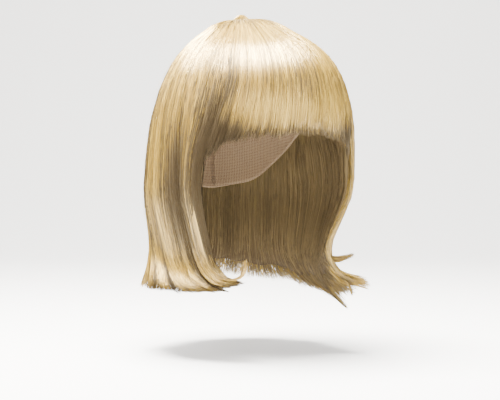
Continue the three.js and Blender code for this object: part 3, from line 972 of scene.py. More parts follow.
@dataclass
class HairSection:
    """One section of hair: an undercoat and the fibres over it, between two edges.

    Lengths are in millimetres, tones and tints in shares, and what ends in levels in levels of the form.
    """

    name: str
    first: Edge
    second: Edge
    locks: tuple[Lock, ...]
    fibres: int
    seed: int
    inner_fibres: int
    samples: int = 15
    inner_samples: int = 11
    layers: int = 3
    clump_width: float = 5.0
    inner_clump_width: float = 6.0
    radius: float = 103.0
    inner_radius: float = 90.0
    ends_at: float = 13.0
    notch: float = 10.0
    ridge_power: float = 2.2
    lift_share: float = 0.3
    curl_levels: float = 1.2
    free_levels: float = 2.0
    fold_depth: Line = ((0, 3, 8, 13), (0, 2.2, 3.4, 2.2))
    wall: Line = ((0, 5, 8, 11, 13), (17, 15, 12, 8, 2.4))
    leaves_cap: Line = ((0, 50, 77, 104, 120, 180), (4, 4.5, 5.5, 6, 7, 7.5))
    tip_wall: float = 2.2
    tip_growth: float = 6.0
    over_cap: float = 2.7
    turn_in: float = 0.0
    tone: float = 0.0
    level_length: float = 25.0
    fibre_width: float = 0.5
    undercoat_depth: float = 3.2
    undercoat_least: float = 0.7
    undercoat_short: float = 0.9
    undercoat_seat: float = 2.0
    undercoat_columns: int = 8
    undercoat_rows: int = 34
    shades: tuple[Shade, ...] = ()
    lock_gather: float = 0.25
    lock_levels: float = 3.0
    root_gather: float = 0.10
    tip_gather: float = 0.62
    inner_gather: float = 0.35
    gather_levels: float = 2.4
    slant: float = 0.42
    layer_depth: float = 1.0
    clump_depth: float = 0.9
    fibre_depth: float = 0.5
    dive: float = 3.0
    dive_levels: float = 0.7
    middle_tint: float = 0.50
    # The inner fibres' low tint is painted shade.
    inner_painted_shade_tint: float = 0.10
    clump_tone: float = 0.14
    fibre_tone: float = 0.24
    inner_tone: float = 0.18
    # Painted shade on the deeper layers of fibres.
    deep_layer_painted_shade: float = 0.09
    tints: tuple[float, float] = (-0.6, 1.0)
    # A painted highlight round the crown, added to the tint.
    crown_painted_highlight: float = 0.28
    crown_level: float = 2.2
    crown_levels: float = 1.3
    lean_ends: float = 0.75
    end_shine: float = 0.0
    shine_above: float = 1.15
    shine_levels: float = 0.5
    shine_way: tuple[float, float, float] = (-0.45, -0.6, 0.66)
    tip_reach: float = 4.0
    tip_spread: float = 3.0

    def end_level(self, share: np.ndarray) -> np.ndarray:
        """The level of the tips across the section, before its locks are counted."""
        return np.full_like(share, self.ends_at)

    def azimuth(self, share: np.ndarray, level: np.ndarray) -> np.ndarray:
        """The azimuth at some shares and levels."""
        start = self.first.azimuth(level)
        return start + (self.second.azimuth(level) - start) * share

    def arc(self, radius: float) -> float:
        """The section's width at the waist, at some radius."""
        return abs(self.second.waist_azimuth - self.first.waist_azimuth) * math.pi / 180 * radius

    def lock_starts(self) -> np.ndarray:
        """The shares at which the locks start, and at the end the last one's end."""
        widths = np.array([lock.width for lock in self.locks])
        return np.concatenate([[0], np.cumsum(widths)]) / widths.sum()

    def lock_centre(self, share: np.ndarray) -> np.ndarray:
        """Finds the middle of the lock that each share belongs to.

        Args:
            share: The shares.

        Returns:
            The shares of the middles.
        """
        starts = self.lock_starts()
        number = np.clip(np.searchsorted(starts[1:], share), 0, len(self.locks) - 1)
        return (starts[number] + starts[number + 1]) / 2

    def lock_values(self, share: np.ndarray) -> tuple[np.ndarray, np.ndarray, np.ndarray, np.ndarray]:
        """What the locks do at some shares.

        Args:
            share: The shares.

        Returns:
            How near each is to the ridge of its lock, the lock's lift and extra length, and the depth of the
            groove that it lies beside.
        """
        starts = self.lock_starts()
        share = np.clip(share, 0, 0.9999)
        number = np.clip(np.searchsorted(starts, share, side="right") - 1, 0, len(self.locks) - 1)
        place = (share - starts[number]) / (starts[number + 1] - starts[number])
        ridge = 1 - np.abs(2 * place - 1) ** self.ridge_power
        lift = np.array([lock.lift for lock in self.locks])[number]
        longer = np.array([lock.longer for lock in self.locks])[number]
        groove = np.ones_like(share)
        groove = np.where((number == 0) & (place < 0.5), self.first.depth, groove)
        groove = np.where((number == len(self.locks) - 1) & (place > 0.5), self.second.depth, groove)
        return ridge, lift, longer, groove

    def last_level(self, share: np.ndarray) -> np.ndarray:
        """The level at which the hair ends, with its locks counted."""
        ridge, _, longer, _ = self.lock_values(share)
        return self.end_level(share) + (longer * ridge - self.notch * (1 - ridge) * 0.5) / self.level_length

    def proud(self, share: np.ndarray, level: np.ndarray) -> np.ndarray:
        """How far the locks stand off the smooth surface, in millimetres."""
        ridge, lift, _, groove = self.lock_values(share)
        return np.interp(level, *self.fold_depth) * ((ridge - 1) * groove + ridge * lift * self.lift_share)

    def shading(self, share: np.ndarray, level: np.ndarray) -> np.ndarray:
        """How much darker or lighter the fibres are painted: a painted highlight round the crown, and the
        section's patches of painted shade and painted highlight.

        Args:
            share: The shares.
            level: Levels, of the same shape.

        Returns:
            The change in tint.
        """
        # Painted highlight round the crown.
        total = self.crown_painted_highlight * np.exp(-(((level - self.crown_level) / self.crown_levels) ** 2))
        for patch in self.shades:
            across = (share - patch.share) / patch.half_width
            along = (level - patch.level) / patch.half_height
            total += patch.tone * np.exp(-across**2 - along**2)
        return total

    def leaves(self, azimuth: np.ndarray) -> np.ndarray:
        """The levels at which the hair leaves the cap."""
        return np.interp(np.abs(azimuth), *self.leaves_cap)

    def curl_in(self, level: np.ndarray, share: np.ndarray) -> np.ndarray:
        """How far the hair curls in near its cut edge."""
        return self.turn_in * smooth(1 - (self.last_level(share) - level) / self.curl_levels)

    def inner_surface(self, form: HairForm, share: np.ndarray,
                      level: np.ndarray) -> tuple[np.ndarray, np.ndarray]:
        """The inner face of the section: on the cap above, and a wall's thickness inside below.

        Args:
            form: The hair's form.
            share: The shares.
            level: Levels, of the same shape.

        Returns:
            Points and outward directions.
        """
        azimuth = self.azimuth(share, level)
        points, normals = form.surface(azimuth, level)
        thinned = self.tip_wall + self.tip_growth * np.maximum(self.last_level(share) - level, 0)
        thickness = np.minimum(np.interp(level, *self.wall), thinned)
        free = points - normals * thickness[..., None]
        seated = form.on_head(points, self.over_cap)
        left = smooth((level - self.leaves(azimuth)) / self.free_levels)[..., None]
        return seated * (1 - left) + free * left, normals

    def undercoat(self, form: HairForm) -> bpy.types.Mesh:
        """Builds the closed wall that the fibres lie on.

        Args:
            form: The hair's form.

        Returns:
            The wall's mesh.
        """
        rows = self.undercoat_rows
        columns = len(self.locks) * self.undercoat_columns + 1
        share = np.broadcast_to(np.linspace(0.004, 0.996, columns), (rows, columns))
        last = self.last_level(share[0]) - self.undercoat_short
        level = 0.1 + (last - 0.1)[None, :] * np.linspace(0, 1, rows)[:, None]
        points, normals = form.surface(self.azimuth(share, level), level)
        near_end = smooth((level - (last - 1.5)) / 1.5)
        sunk = self.undercoat_depth * (1 - 0.4 * near_end) + self.curl_in(level, share)
        outer = points + normals * (self.proud(share, level) - sunk)[..., None]
        inner, _ = self.inner_surface(form, share, level)
        inner = inner + normals * (self.undercoat_seat - 1.2 * near_end)[..., None]
        thickness = np.einsum("...i,...i", outer - inner, normals)
        short = np.maximum(self.undercoat_least - thickness, 0)
        return Flow(outer, inner - normals * short[..., None]).mesh(self.name + "_undercoat")

    def clumped(self, share: np.ndarray, rng: np.random.Generator) -> Clumps:
        """Shares the outer fibres out among layers of small clumps.

        Args:
            share: The share at which each fibre starts.
            rng: The section's random numbers.

        Returns:
            Each fibre's clump.
        """
        layer = rng.integers(0, self.layers, len(share))
        count = max(3, round(self.arc(self.radius) / self.clump_width))
        size = (self.layers, count)
        middles = (np.arange(count)[None, :] + 0.5 + rng.uniform(-0.35, 0.35, size)) / count
        own = np.abs(share[:, None] - middles[layer]).argmin(1)
        centre = middles[layer, own]
        return Clumps(
            layer=layer,
            centre=centre,
            off=(share - centre) * count,
            tint=rng.normal(0, 1, size)[layer, own],
            depth=rng.uniform(0, self.clump_depth, size)[layer, own],
            longer=rng.normal(0, self.tip_spread, size)[layer, own],
            phase=rng.uniform(0, 2 * math.pi, size)[layer, own],
            wave=rng.uniform(0.5, 1.0, size)[layer, own],
        )

    def roots(self, rng: np.random.Generator) -> np.ndarray:
        """Spreads the outer fibres' roots, with more of them where the hair is wider.

        Args:
            rng: The section's random numbers.

        Returns:
            The roots' levels.
        """
        levels = np.linspace(0, 6, 61)
        girth = np.interp(levels, np.arange(7), [row.side for row in LEVELS[:7]])
        root = np.interp(rng.uniform(0, 1, self.fibres) * girth[-1], girth, levels)
        return np.maximum(root - 0.35, 0.12) + rng.uniform(0, 0.2, self.fibres)

    def run(self, share: np.ndarray, level: np.ndarray, clumps: Clumps,
            rng: np.random.Generator) -> np.ndarray:
        """Runs the outer fibres down: together in their clumps towards the tips, and never quite straight.

        Args:
            share: The share at which each fibre starts.
            level: The levels along each fibre.
            clumps: Each fibre's clump.
            rng: The section's random numbers.

        Returns:
            The shares along each fibre.
        """
        arc = self.arc(self.radius)
        start = share[:, None]
        tip = level[:, -1:]
        near_tip = smooth((level - (tip - self.gather_levels)) / self.gather_levels)
        ran = start + (clumps.centre[:, None] - start) * (self.root_gather + self.tip_gather * near_tip)
        bundled = self.lock_gather * smooth((level - (tip - self.lock_levels)) / self.lock_levels)
        ran = ran + (self.lock_centre(share)[:, None] - ran) * bundled
        sway = (0.8 + 1.6 * smooth((level - 7) / 6)) / arc
        ran = ran + sway * np.sin(level * 0.9 * clumps.wave[:, None] + clumps.phase[:, None])
        slope = rng.normal(0, self.slant, self.fibres)[:, None] / arc
        return ran + slope * (level - level[:, :1])

    def outer_lines(self, form: HairForm, rng: np.random.Generator) -> FibreLines:
        """The fibres that lie on and just under the surface.

        Args:
            form: The hair's form.
            rng: The section's random numbers.

        Returns:
            Their centre lines.
        """
        count = self.fibres
        u = np.linspace(0, 1, self.samples)[None, :]
        start = (np.arange(count) + rng.uniform(0, 1, count)) / count
        clumps = self.clumped(start, rng)
        root = self.roots(rng)
        last = self.last_level(start)
        shorter = 5 * np.abs(clumps.off) + rng.exponential(self.tip_spread, count)
        tip = last + (clumps.longer - shorter + self.tip_reach) / self.level_length
        root = np.minimum(root, tip - 1.5)
        level = root[:, None] + (tip - root)[:, None] * (1 - (1 - u) ** 1.12)
        share = self.run(start, level, clumps, rng)
        phase = rng.uniform(0, 2 * math.pi, (3, count, 1))
        wriggle = 0.35 * np.sin(1.7 * level + phase[0]) + 0.25 * np.sin(3.9 * level + phase[1])
        share = np.clip(share + wriggle / self.arc(self.radius), -0.015, 1.015)

        points, normals = form.surface(self.azimuth(share, level), level)
        depth = clumps.layer * self.layer_depth + clumps.depth + rng.uniform(0, self.fibre_depth, count)
        round_off = 0.7 * np.minimum(np.abs(clumps.off), 1) ** 2
        sunk = depth[:, None] * (1 - 0.45 * smooth((level - 10) / 3)) + round_off[:, None]
        dive = self.dive * (1 - smooth((level - root[:, None]) / self.dive_levels))
        wobble = 0.25 * np.sin(2.3 * level + phase[2])
        curl = self.curl_in(level, start[:, None])
        lift = self.proud(np.clip(share, 0, 1), level) - sunk - dive + wobble - curl
        tint = self.middle_tint + self.tone + self.clump_tone * clumps.tint
        # Deeper layers get painted shade.
        tint = tint + rng.normal(0, self.fibre_tone, count) - self.deep_layer_painted_shade * clumps.layer
        tint = tint[:, None] + self.shading(share, level)
        bright = last - self.shine_above + rng.normal(0, 0.12, count) + clumps.longer / self.level_length
        strength = self.end_shine * (0.2 + 0.8 * self.lock_values(start)[0]) * rng.uniform(0.6, 1.1, count)
        shine = strength[:, None] * np.exp(-(((level - bright[:, None]) / self.shine_levels) ** 2))
        lean = 1 - 0.8 * smooth((level - 10.3) / 2.4)
        lean = lean * (1 - smooth((u - self.lean_ends) / (1 - self.lean_ends)))
        skin = normals * lean[..., None] + shine[..., None] * np.array(self.shine_way)
        points = points + normals * lift[..., None]
        return FibreLines(points, skin, np.clip(tint, *self.tints), taper_profile(u))

    def inner_lines(self, form: HairForm, rng: np.random.Generator) -> FibreLines:
        """The fibres that show from the inside, below the edge of the cap.

        Args:
            form: The hair's form.
            rng: The section's random numbers.

        Returns:
            Their centre lines.
        """
        count = self.inner_fibres
        u = np.linspace(0, 1, self.inner_samples)[None, :]
        start = (np.arange(count) + rng.uniform(0, 1, count)) / count
        tip = self.last_level(start) - rng.exponential(4.0, count) / self.level_length + 0.15
        leaves = self.leaves(self.azimuth(start, np.full(count, 6.0)))
        root = np.minimum(leaves - 0.6 + rng.uniform(0, 1.4, count), tip - 1.2)
        level = root[:, None] + (tip - root)[:, None] * u
        arc = self.arc(self.inner_radius)
        phase = rng.uniform(0, 2 * math.pi, (3, count, 1))
        cell = np.round(start * arc / self.inner_clump_width) / (arc / self.inner_clump_width)
        near_tip = (level - (tip[:, None] - self.gather_levels)) / self.gather_levels
        share = start[:, None] + (cell - start)[:, None] * self.inner_gather * smooth(near_tip)
        share = share + (0.8 * np.sin(1.1 * level + phase[0]) + 0.4 * np.sin(3.1 * level + phase[1])) / arc
        share = np.clip(share, 0, 1)
        points, normals = self.inner_surface(form, share, level)
        near_end = smooth((level - (tip[:, None] - 1.5)) / 1.5)
        inside = rng.uniform(0.4, 2.4, count)[:, None] * (1 - 0.5 * near_end)
        inside = inside - self.curl_in(level, start[:, None])
        # The low tint of the inner fibres is painted shade.
        tint = self.inner_painted_shade_tint + self.tone + rng.normal(0, self.inner_tone, count)
        tint = tint[:, None] + self.shading(share, level)
        skin = -normals * (1 - smooth((u - 0.5) / 0.5))[..., None]
        points = points + normals * inside[..., None]
        return FibreLines(points, skin, np.clip(tint, *self.tints), taper_profile(u))

    def build(self, form: HairForm, tree: FibreTree, fibre: bpy.types.Material,
              inner_fibre: bpy.types.Material, undercoat: bpy.types.Material) -> None:
        """Builds and dresses the section's pieces.

        Args:
            form: The hair's form.
            tree: The tree that makes fibres.
            fibre: The outer fibres' material.
            inner_fibre: The inner fibres' material.
            undercoat: The undercoat's material.
        """
        rng = np.random.default_rng(self.seed)
        base = self.undercoat(form)
        base.materials.append(undercoat)
        put(self.name + "_undercoat", base, HAIR_SLOT, self.name)
        name = self.name + "_fibres"
        outer = tree.grow(name, self.outer_lines(form, rng), fibre, self.fibre_width, self.seed)
        put(name, outer, HAIR_SLOT)
        name = self.name + "_inner_fibres"
        inner = tree.grow(name, self.inner_lines(form, rng), inner_fibre, self.fibre_width, self.seed + 50)
        put(name, inner, HAIR_SLOT)


@dataclass
class Fringe(HairSection):
    """The full fringe, cut straight over the eyes and lower at its corners."""

    middle: float = 6.32
    drop: float = 0.73
    squareness: float = 4.0

    def end_level(self, share: np.ndarray) -> np.ndarray:
        """The level of the cut across the fringe."""
        return self.middle + self.drop * np.abs(2 * share - 1) ** self.squareness


def wig_sections() -> list[HairSection]:
    """Lists the sections of hair, from the fringe round to the far side.

    Returns:
        The sections, ready to be built.
    """
    return [
        Fringe(
            name="fringe",
            first=Edge.PARTING_RIGHT,
            second=Edge.PARTING_LEFT,
            locks=(Lock(0.8, -1.2, 4), Lock(1.1, 0, 0), Lock(0.9, -0.6, 1), Lock(1.2, 0.4, 0),
                   Lock(1, -0.4, -1), Lock(1.1, 0.3, 0), Lock(0.9, -0.5, 1), Lock(1.1, 0.2, 0),
                   Lock(0.8, -1, 3)),
            fibres=2300,
            inner_fibres=250,
            seed=11,
            samples=12,
            clump_width=4.0,
            clump_tone=0.13,
            notch=2,
            fold_depth=((0, 3, 7), (0, 0.6, 0.9)),
            wall=((0, 4, 6, 7), (17, 13, 6, 2.4)),
            turn_in=5,
            undercoat_short=0.8,
            tip_spread=1.8,
            lock_gather=0.05,
            tip_gather=0.3,
            lean_ends=0.92,
            # Painted shade at both corners, down the near parting and in a band between the two shines, a
            # darker hem, and a painted highlight low on the fringe.
            shades=(Shade(0.0, 6.9, 0.17, 1.6, -1.1), Shade(0.02, 4.4, 0.06, 1.6, -0.6),
                    Shade(0.5, 6.5, 1.0, 0.35, -0.8), Shade(1.0, 6.8, 0.12, 1.4, -1.0),
                    Shade(0.5, 4.4, 0.6, 0.6, -0.14), Shade(0.5, 5.5, 0.6, 0.5, 0.45)),
        ),
        HairSection(
            name="front_lock_right",
            first=Edge.FOLD_RIGHT,
            second=Edge.PARTING_RIGHT,
            locks=(Lock(0.8, -0.8, -3), Lock(1.1, 0.8, 0), Lock(0.9, -0.4, -4)),
            fibres=1000,
            inner_fibres=160,
            seed=12,
            tip_reach=-2,
            tip_spread=1.1,
            end_shine=1.15,
            # Painted shade along the front edge and its underside, down the fold, near the fringe and at the
            # tips, and a painted highlight where the ends turn.
            shades=(Shade(1.0, 8.8, 0.5, 2.6, -0.8), Shade(1.0, 8.6, 0.2, 2.4, -1.2),
                    Shade(1.0, 6.0, 0.5, 1.8, -0.6), Shade(0.0, 8.7, 0.24, 2.5, -1.3),
                    Shade(0.5, 11.8, 0.6, 0.5, 0.4), Shade(0.5, 13.0, 1.0, 0.5, -0.15)),
        ),
        HairSection(
            name="side_hair_right",
            first=Edge.BREAK_RIGHT,
            second=Edge.FOLD_RIGHT,
            locks=(Lock(0.9, 0, -4), Lock(0.8, -0.8, -4), Lock(1.5, 0.6, 2), Lock(0.8, -2.4, -2)),
            fibres=1500,
            inner_fibres=220,
            seed=13,
            tip_spread=1.1,
            end_shine=1.15,
            tone=-0.01,
            # Painted shade in the fold and the grooves, in the notch between the clumps, over the upper side
            # and at the tips, and painted highlights where the ends turn and a little over the middle.
            shades=(Shade(0.92, 8.6, 0.17, 2.4, -1.4), Shade(0.3, 9.8, 0.2, 2.5, -0.3),
                    Shade(0.66, 8.4, 0.1, 1.8, -0.25), Shade(0.5, 11.8, 0.8, 0.5, 0.4),
                    Shade(0.5, 4.8, 0.8, 1.0, -0.13), Shade(0.45, 7.8, 0.15, 1.2, 0.14),
                    Shade(0.425, 12.3, 0.035, 1.2, -1.1), Shade(0.97, 12.0, 0.06, 1.2, -0.8),
                    Shade(0.5, 13.0, 1.0, 0.5, -0.45)),
        ),
        HairSection(
            name="back_hair_right",
            first=Edge.NAPE_RIGHT,
            second=Edge.BREAK_RIGHT,
            locks=(Lock(1, 0, 0), Lock(1.2, -0.6, 3), Lock(0.9, 0.4, -2), Lock(1.1, -0.4, 2),
                   Lock(0.9, 0.5, -5)),
            fibres=1250,
            inner_fibres=250,
            seed=14,
            tip_spread=2.0,
            tip_gather=0.4,
            notch=7,
            tone=-0.03,
        ),
        HairSection(
            name="back_hair_left",
            first=Edge.BREAK_LEFT,
            second=Edge.NAPE_LEFT,
            locks=(Lock(1, 0.3, 3), Lock(0.9, -0.6, -3), Lock(1.2, 0.4, 2), Lock(0.9, -0.5, 0),
                   Lock(1.1, 0, -1)),
            fibres=1250,
            inner_fibres=250,
            seed=15,
            tip_spread=2.0,
            tip_gather=0.4,
            notch=7,
            tone=-0.03,
        ),
        HairSection(
            name="side_hair_left",
            first=Edge.FOLD_LEFT,
            second=Edge.BREAK_LEFT,
            locks=(Lock(0.9, -1.6, -14), Lock(1.1, 0.5, 2), Lock(0.9, -0.6, -10), Lock(1.1, 0.2, -4)),
            fibres=1050,
            inner_fibres=220,
            seed=16,
            tone=-0.12,
            tip_reach=0,
            tip_spread=4,
            lock_gather=0.6,
            notch=24,
        ),
        HairSection(
            name="front_lock_left",
            first=Edge.PARTING_LEFT,
            second=Edge.FOLD_LEFT,
            locks=(Lock(0.9, -0.4, -16), Lock(1.1, 0.8, -20), Lock(0.8, -0.8, -16)),
            fibres=900,
            inner_fibres=160,
            seed=17,
            tone=-0.1,
            tip_spread=4,
            lock_gather=0.5,
        ),
    ]


@dataclass
class Whorl:
    """The knot at the crown: a small mound, and fibres that swirl out of it over the first locks."""

    behind: float = 22
    top: float = 23.6
    radius: float = 7.0
    foot: float = 16.0
    over_cap: float = 3.0
    rows: int = 10
    columns: int = 32
    fibres: int = 440
    fibre_width: float = 0.6
    reach: float = 3.2
    starts: float = 0.22
    samples: int = 13
    on_knot: float = 0.3
    knot_radius: float = 6.0
    knot_height: float = 4.4
    seed: int = 31

    def mound(self, form: HairForm) -> bpy.types.Mesh:
        """Builds the mound, whose foot follows the cap.

        Args:
            form: The hair's form.

        Returns:
            The mound's mesh.
        """
        t = np.linspace(0, 1, self.rows)[:, None]
        angle = np.linspace(0, 2 * math.pi, self.columns, endpoint=False)[None, :]
        ring = (0.02 + 0.98 * np.sin(t * math.pi / 2)) * self.radius
        height = self.foot + (self.top - self.foot - 2) * np.cos(t * math.pi / 2)
        height = np.broadcast_to(height, (self.rows, self.columns))
        outer = np.stack([ring * np.sin(angle), self.behind - ring * np.cos(angle), height], -1)
        return Flow(outer, form.on_head(outer, self.over_cap), closed=True).mesh("crown_whorl_undercoat")

    def lines(self, form: HairForm) -> FibreLines:
        """The swirling fibres, which run round the knot and then down over the first locks.

        Args:
            form: The hair's form.

        Returns:
            Their centre lines.
        """
        rng = np.random.default_rng(self.seed)
        count = self.fibres
        u = np.linspace(0, 1, self.samples)[None, :]
        azimuth = -180 + 360 * (np.arange(count) + rng.uniform(0, 1, count)) / count
        reach = rng.uniform(0.9, self.reach, count)[:, None]
        beyond = np.clip((u - self.on_knot) / (1 - self.on_knot), 0, 1)
        level = self.starts + (reach - self.starts) * beyond**1.3
        on = np.clip(u / self.on_knot, 0, 1)
        swirl = rng.normal(75, 18, count)[:, None] * (1 - on)
        swirl = swirl + rng.normal(6, 8, count)[:, None] * (1 - beyond)
        azimuth = azimuth[:, None] + swirl
        points, normals = form.surface(azimuth, level)
        sunk = 0.2 + 3.2 * smooth((u - 0.7) / 0.3) + rng.uniform(0, 0.8, count)[:, None]
        laid = points - normals * sunk[..., None]
        angle = np.radians(azimuth)
        first = rng.uniform(0, 0.35, count)[:, None]
        over = (first + (1 - first) * on) * math.pi / 2
        low = rng.uniform(0, 0.8, count)[:, None]
        ring = self.knot_radius * np.sin(over)
        height = self.top - low - self.knot_height * (1 - np.cos(over))
        knot = np.stack([ring * np.sin(angle), self.behind - ring * np.cos(angle), height], -1)
        leaves = smooth((u - self.on_knot * 0.6) / (self.on_knot * 0.8))[..., None]
        tint = np.clip(0.46 + rng.normal(0, 0.24, count), 0, 1)
        skin = normals * (1 - smooth((u - 0.6) / 0.4))[..., None]
        return FibreLines(knot * (1 - leaves) + laid * leaves, skin, tint, taper_profile(u))

    def build(self, form: HairForm, tree: FibreTree, fibre: bpy.types.Material,
              undercoat: bpy.types.Material) -> None:
        """Builds and dresses the whorl's two pieces.

        Args:
            form: The hair's form.
            tree: The tree that makes fibres.
            fibre: The fibres' material.
            undercoat: The undercoat's material.
        """
        base = self.mound(form)
        base.materials.append(undercoat)
        put("crown_whorl_undercoat", base, HAIR_SLOT, "crown_whorl")
        swirl = tree.grow("crown_whorl_fibres", self.lines(form), fibre, self.fibre_width, self.seed)
        put("crown_whorl_fibres", swirl, HAIR_SLOT)


class Flick(NamedTuple):
    """A loose end that leaves a front lock at one azimuth and level and reaches out, forward and up."""

    azimuth: float
    level: float
    out: float
    forward: float
    up: float
    width: float
    depth: float
    fibres: int
    tone: float
    bend: float
    full: float


@dataclass
class Flicks:
    """The loose ends that flick away from the two front locks."""

    table: tuple[Flick, ...] = (
        Flick(azimuth=61, level=11.2, out=17, forward=4, up=10, width=6, depth=3, fibres=60,
              tone=-0.2, bend=0.3, full=0.3),
        Flick(azimuth=63, level=11.9, out=19, forward=6, up=-6, width=11, depth=5, fibres=180,
              tone=0.1, bend=0.5, full=0.7),
        Flick(azimuth=66, level=12.2, out=-3, forward=8, up=-12, width=6, depth=5, fibres=60,
              tone=-0.1, bend=0.4, full=0.2),
        Flick(azimuth=-62.5, level=12.0, out=-13, forward=26, up=23, width=3.5, depth=2, fibres=32,
              tone=0.05, bend=1.4, full=0.02),
    )
    joins: float = 8.5
    on_lock: float = 0.55
    level_length: float = 25.0
    radius: float = 80.0
    dive: float = 4.0
    fray: float = 0.19
    fibre_width: float = 0.62
    samples: int = 16
    seed: int = 41

    def flick_lines(self, form: HairForm, flick: Flick, rng: np.random.Generator) -> FibreLines:
        """The centre lines of one flick's fibres, which lie in the lock and then leave it.

        Args:
            form: The hair's form.
            flick: The flick.
            rng: The random numbers of all the flicks.

        Returns:
            The centre lines.
        """
        count = flick.fibres
        u = np.linspace(0, 1, self.samples)[None, :]
        across = rng.uniform(-1, 1, count)[:, None]
        through = rng.uniform(0, 1, count)[:, None]
        leaves = flick.level + across * flick.width / 2 / self.level_length
        level = self.joins + (leaves - self.joins) * np.minimum(u / self.on_lock, 1)
        azimuth = flick.azimuth + across * np.degrees(flick.width / 2 / self.radius)
        laid, normals = form.surface(np.broadcast_to(azimuth, level.shape), level)
        dive = self.dive * (1 - smooth(u / 0.16))
        laid = laid - normals * (0.6 + flick.depth * through + dive)[..., None]
        t = np.clip((u - self.on_lock) / (1 - self.on_lock), 0, 1)[..., None]
        angle = math.radians(flick.azimuth)
        reach = flick.out * np.array([math.sin(angle), -math.cos(angle), 0]) + [0, -flick.forward, flick.up]
        root = laid[:, -1:, :]
        bend = form.surface(azimuth, leaves + flick.bend)[0] - normals[:, -1:, :] * 1.5
        centre = form.surface(np.array([[flick.azimuth]]), np.array([[flick.level + 0.4]]))[0]
        tip = centre + reach + (root - root.mean(0, keepdims=True)) * flick.full
        tip = tip + rng.normal(0, 0.3 + flick.full, (count, 1, 3))
        tip = tip - reach * rng.exponential(self.fray, (count, 1, 1))
        free = root * (1 - t) ** 2 + bend * 2 * t * (1 - t) + tip * t**2
        skin = normals * (1 - smooth((u - 0.3) / 0.4))[..., None]
        tint = np.clip(0.45 + flick.tone + rng.normal(0, 0.2, count), 0, 1)
        return FibreLines(np.where(t > 0, free, laid), skin, tint, taper_profile(u))

    def build(self, form: HairForm, tree: FibreTree, fibre: bpy.types.Material) -> None:
        """Builds and dresses the flicks as one piece.

        Args:
            form: The hair's form.
            tree: The tree that makes fibres.
            fibre: The fibres' material.
        """
        rng = np.random.default_rng(self.seed)
        each = [self.flick_lines(form, flick, rng) for flick in self.table]
        points, skin, tint = (np.concatenate([getattr(lines, part) for lines in each])
                              for part in ("points", "skin", "tint"))
        lines = FibreLines(points, skin, tint, each[0].taper)
        put("flick_fibres", tree.grow("flick_fibres", lines, fibre, self.fibre_width, self.seed), HAIR_SLOT)


@dataclass
class Strays:
    """Single fibres that stand off the hair, away from the two partings."""

    count: int = 140
    parting: tuple[float, float] = (36, 80)
    fibre_width: float = 0.22
    samples: int = 14
    seed: int = 51

    def lines(self, form: HairForm) -> FibreLines:
        """The stray fibres, each of which lifts off the hair towards its tip.

        Args:
            form: The hair's form.

        Returns:
            Their centre lines.
        """
        rng = np.random.default_rng(self.seed)
        u = np.linspace(0, 1, self.samples)[None, :]
        first = rng.uniform(-180, 180, self.count)
        first = first[(np.abs(first) < self.parting[0]) | (np.abs(first) > self.parting[1])][:, None]
        count = len(first)
        start = rng.uniform(1.0, 9.0, count)[:, None]
        end = start + rng.uniform(1.5, 4.5, count)[:, None]
        end = np.minimum(end, np.where(np.abs(first) < 60, 6.0, 12.4))
        start = np.minimum(start, end - 1.2)
        level = start + (end - start) * u
        azimuth = first + rng.normal(0, 3, count)[:, None] * u**1.5
        points, normals = form.surface(azimuth, level)
        off = rng.uniform(1.0, 5.5, count)[:, None] * u**1.6 - 1.2
        tint = np.clip(rng.normal(0.7, 0.2, count), 0, 1)
        return FibreLines(points + normals * off[..., None], np.zeros_like(normals), tint, taper_profile(u))

    def build(self, form: HairForm, tree: FibreTree, fibre: bpy.types.Material) -> None:
        """Builds and dresses the stray fibres as one piece.

        Args:
            form: The hair's form.
            tree: The tree that makes fibres.
            fibre: The fibres' material.
        """
        grown = tree.grow("stray_fibres", self.lines(form), fibre, self.fibre_width, self.seed)
        put("stray_fibres", grown, HAIR_SLOT)


@dataclass
class Cap:
    """The fitted cap: a thin net dome with a rolled hem. Its edge is a height at each azimuth."""

    wall: float = 1.5
    hem: float = 0.45
    columns: int = 96
    rows: int = 28
    edge: Line = (
        (0, 30, 52, 68, 80, 92, 104, 122, 145, 180),
        (-44, -46, -60, -88, -98, -89, -84, -112, -142, -150),
    )

    def mesh(self, form: HairForm) -> bpy.types.Mesh:
        """Builds the dome between its crown and its cut edge, thicker along the edge.

        Args:
            form: The hair's form.

        Returns:
            The cap's mesh.
        """
        azimuth = np.linspace(-180, 180, self.columns, endpoint=False)
        rounded = [np.interp(np.abs((azimuth + d + 180) % 360 - 180), *self.edge) for d in (-6, -3, 0, 3, 6)]
        edge = np.mean(rounded, axis=0)
        share = np.concatenate([np.linspace(0.01, 0.965, self.rows), [0.972, 0.982, 0.992, 1.0]])[:, None]
        polar = np.arccos((edge + form.head_height) / form.head_height)[None, :] * share
        angle = np.radians(azimuth)[None, :]
        inner = np.stack([
            np.sin(angle) * np.sin(polar) * form.head_half_width,
            -np.cos(angle) * np.sin(polar) * form.head_half_length,
            np.cos(polar) * form.head_height - form.head_height,
        ], -1)
        thicker = 1 + self.hem * smooth((share - 0.965) / 0.012)[..., None]
        tapered = 1 - 0.6 * smooth((share - 0.99) / 0.01)[..., None]
        outer = form.on_head(inner, self.wall)
        middle = (outer + inner) / 2
        half = (outer - inner) / 2 * thicker * tapered
        return Flow(middle + half, middle - half, closed=True).mesh("cap_net")

    def build(self, form: HairForm, finish: NetFinish) -> None:
        """Builds and dresses the cap.

        Args:
            form: The hair's form.
            finish: The cap's finish.
        """
        made = self.mesh(form)
        made.materials.append(finish.material())
        put("cap_net", made, CAP_SLOT, "cap")


class Lamp(NamedTuple):
    """A square soft light: its place to the camera's right, towards it and up, its size and its power."""

    name: str
    place: tuple[float, float, float]
    size: float
    watts: float


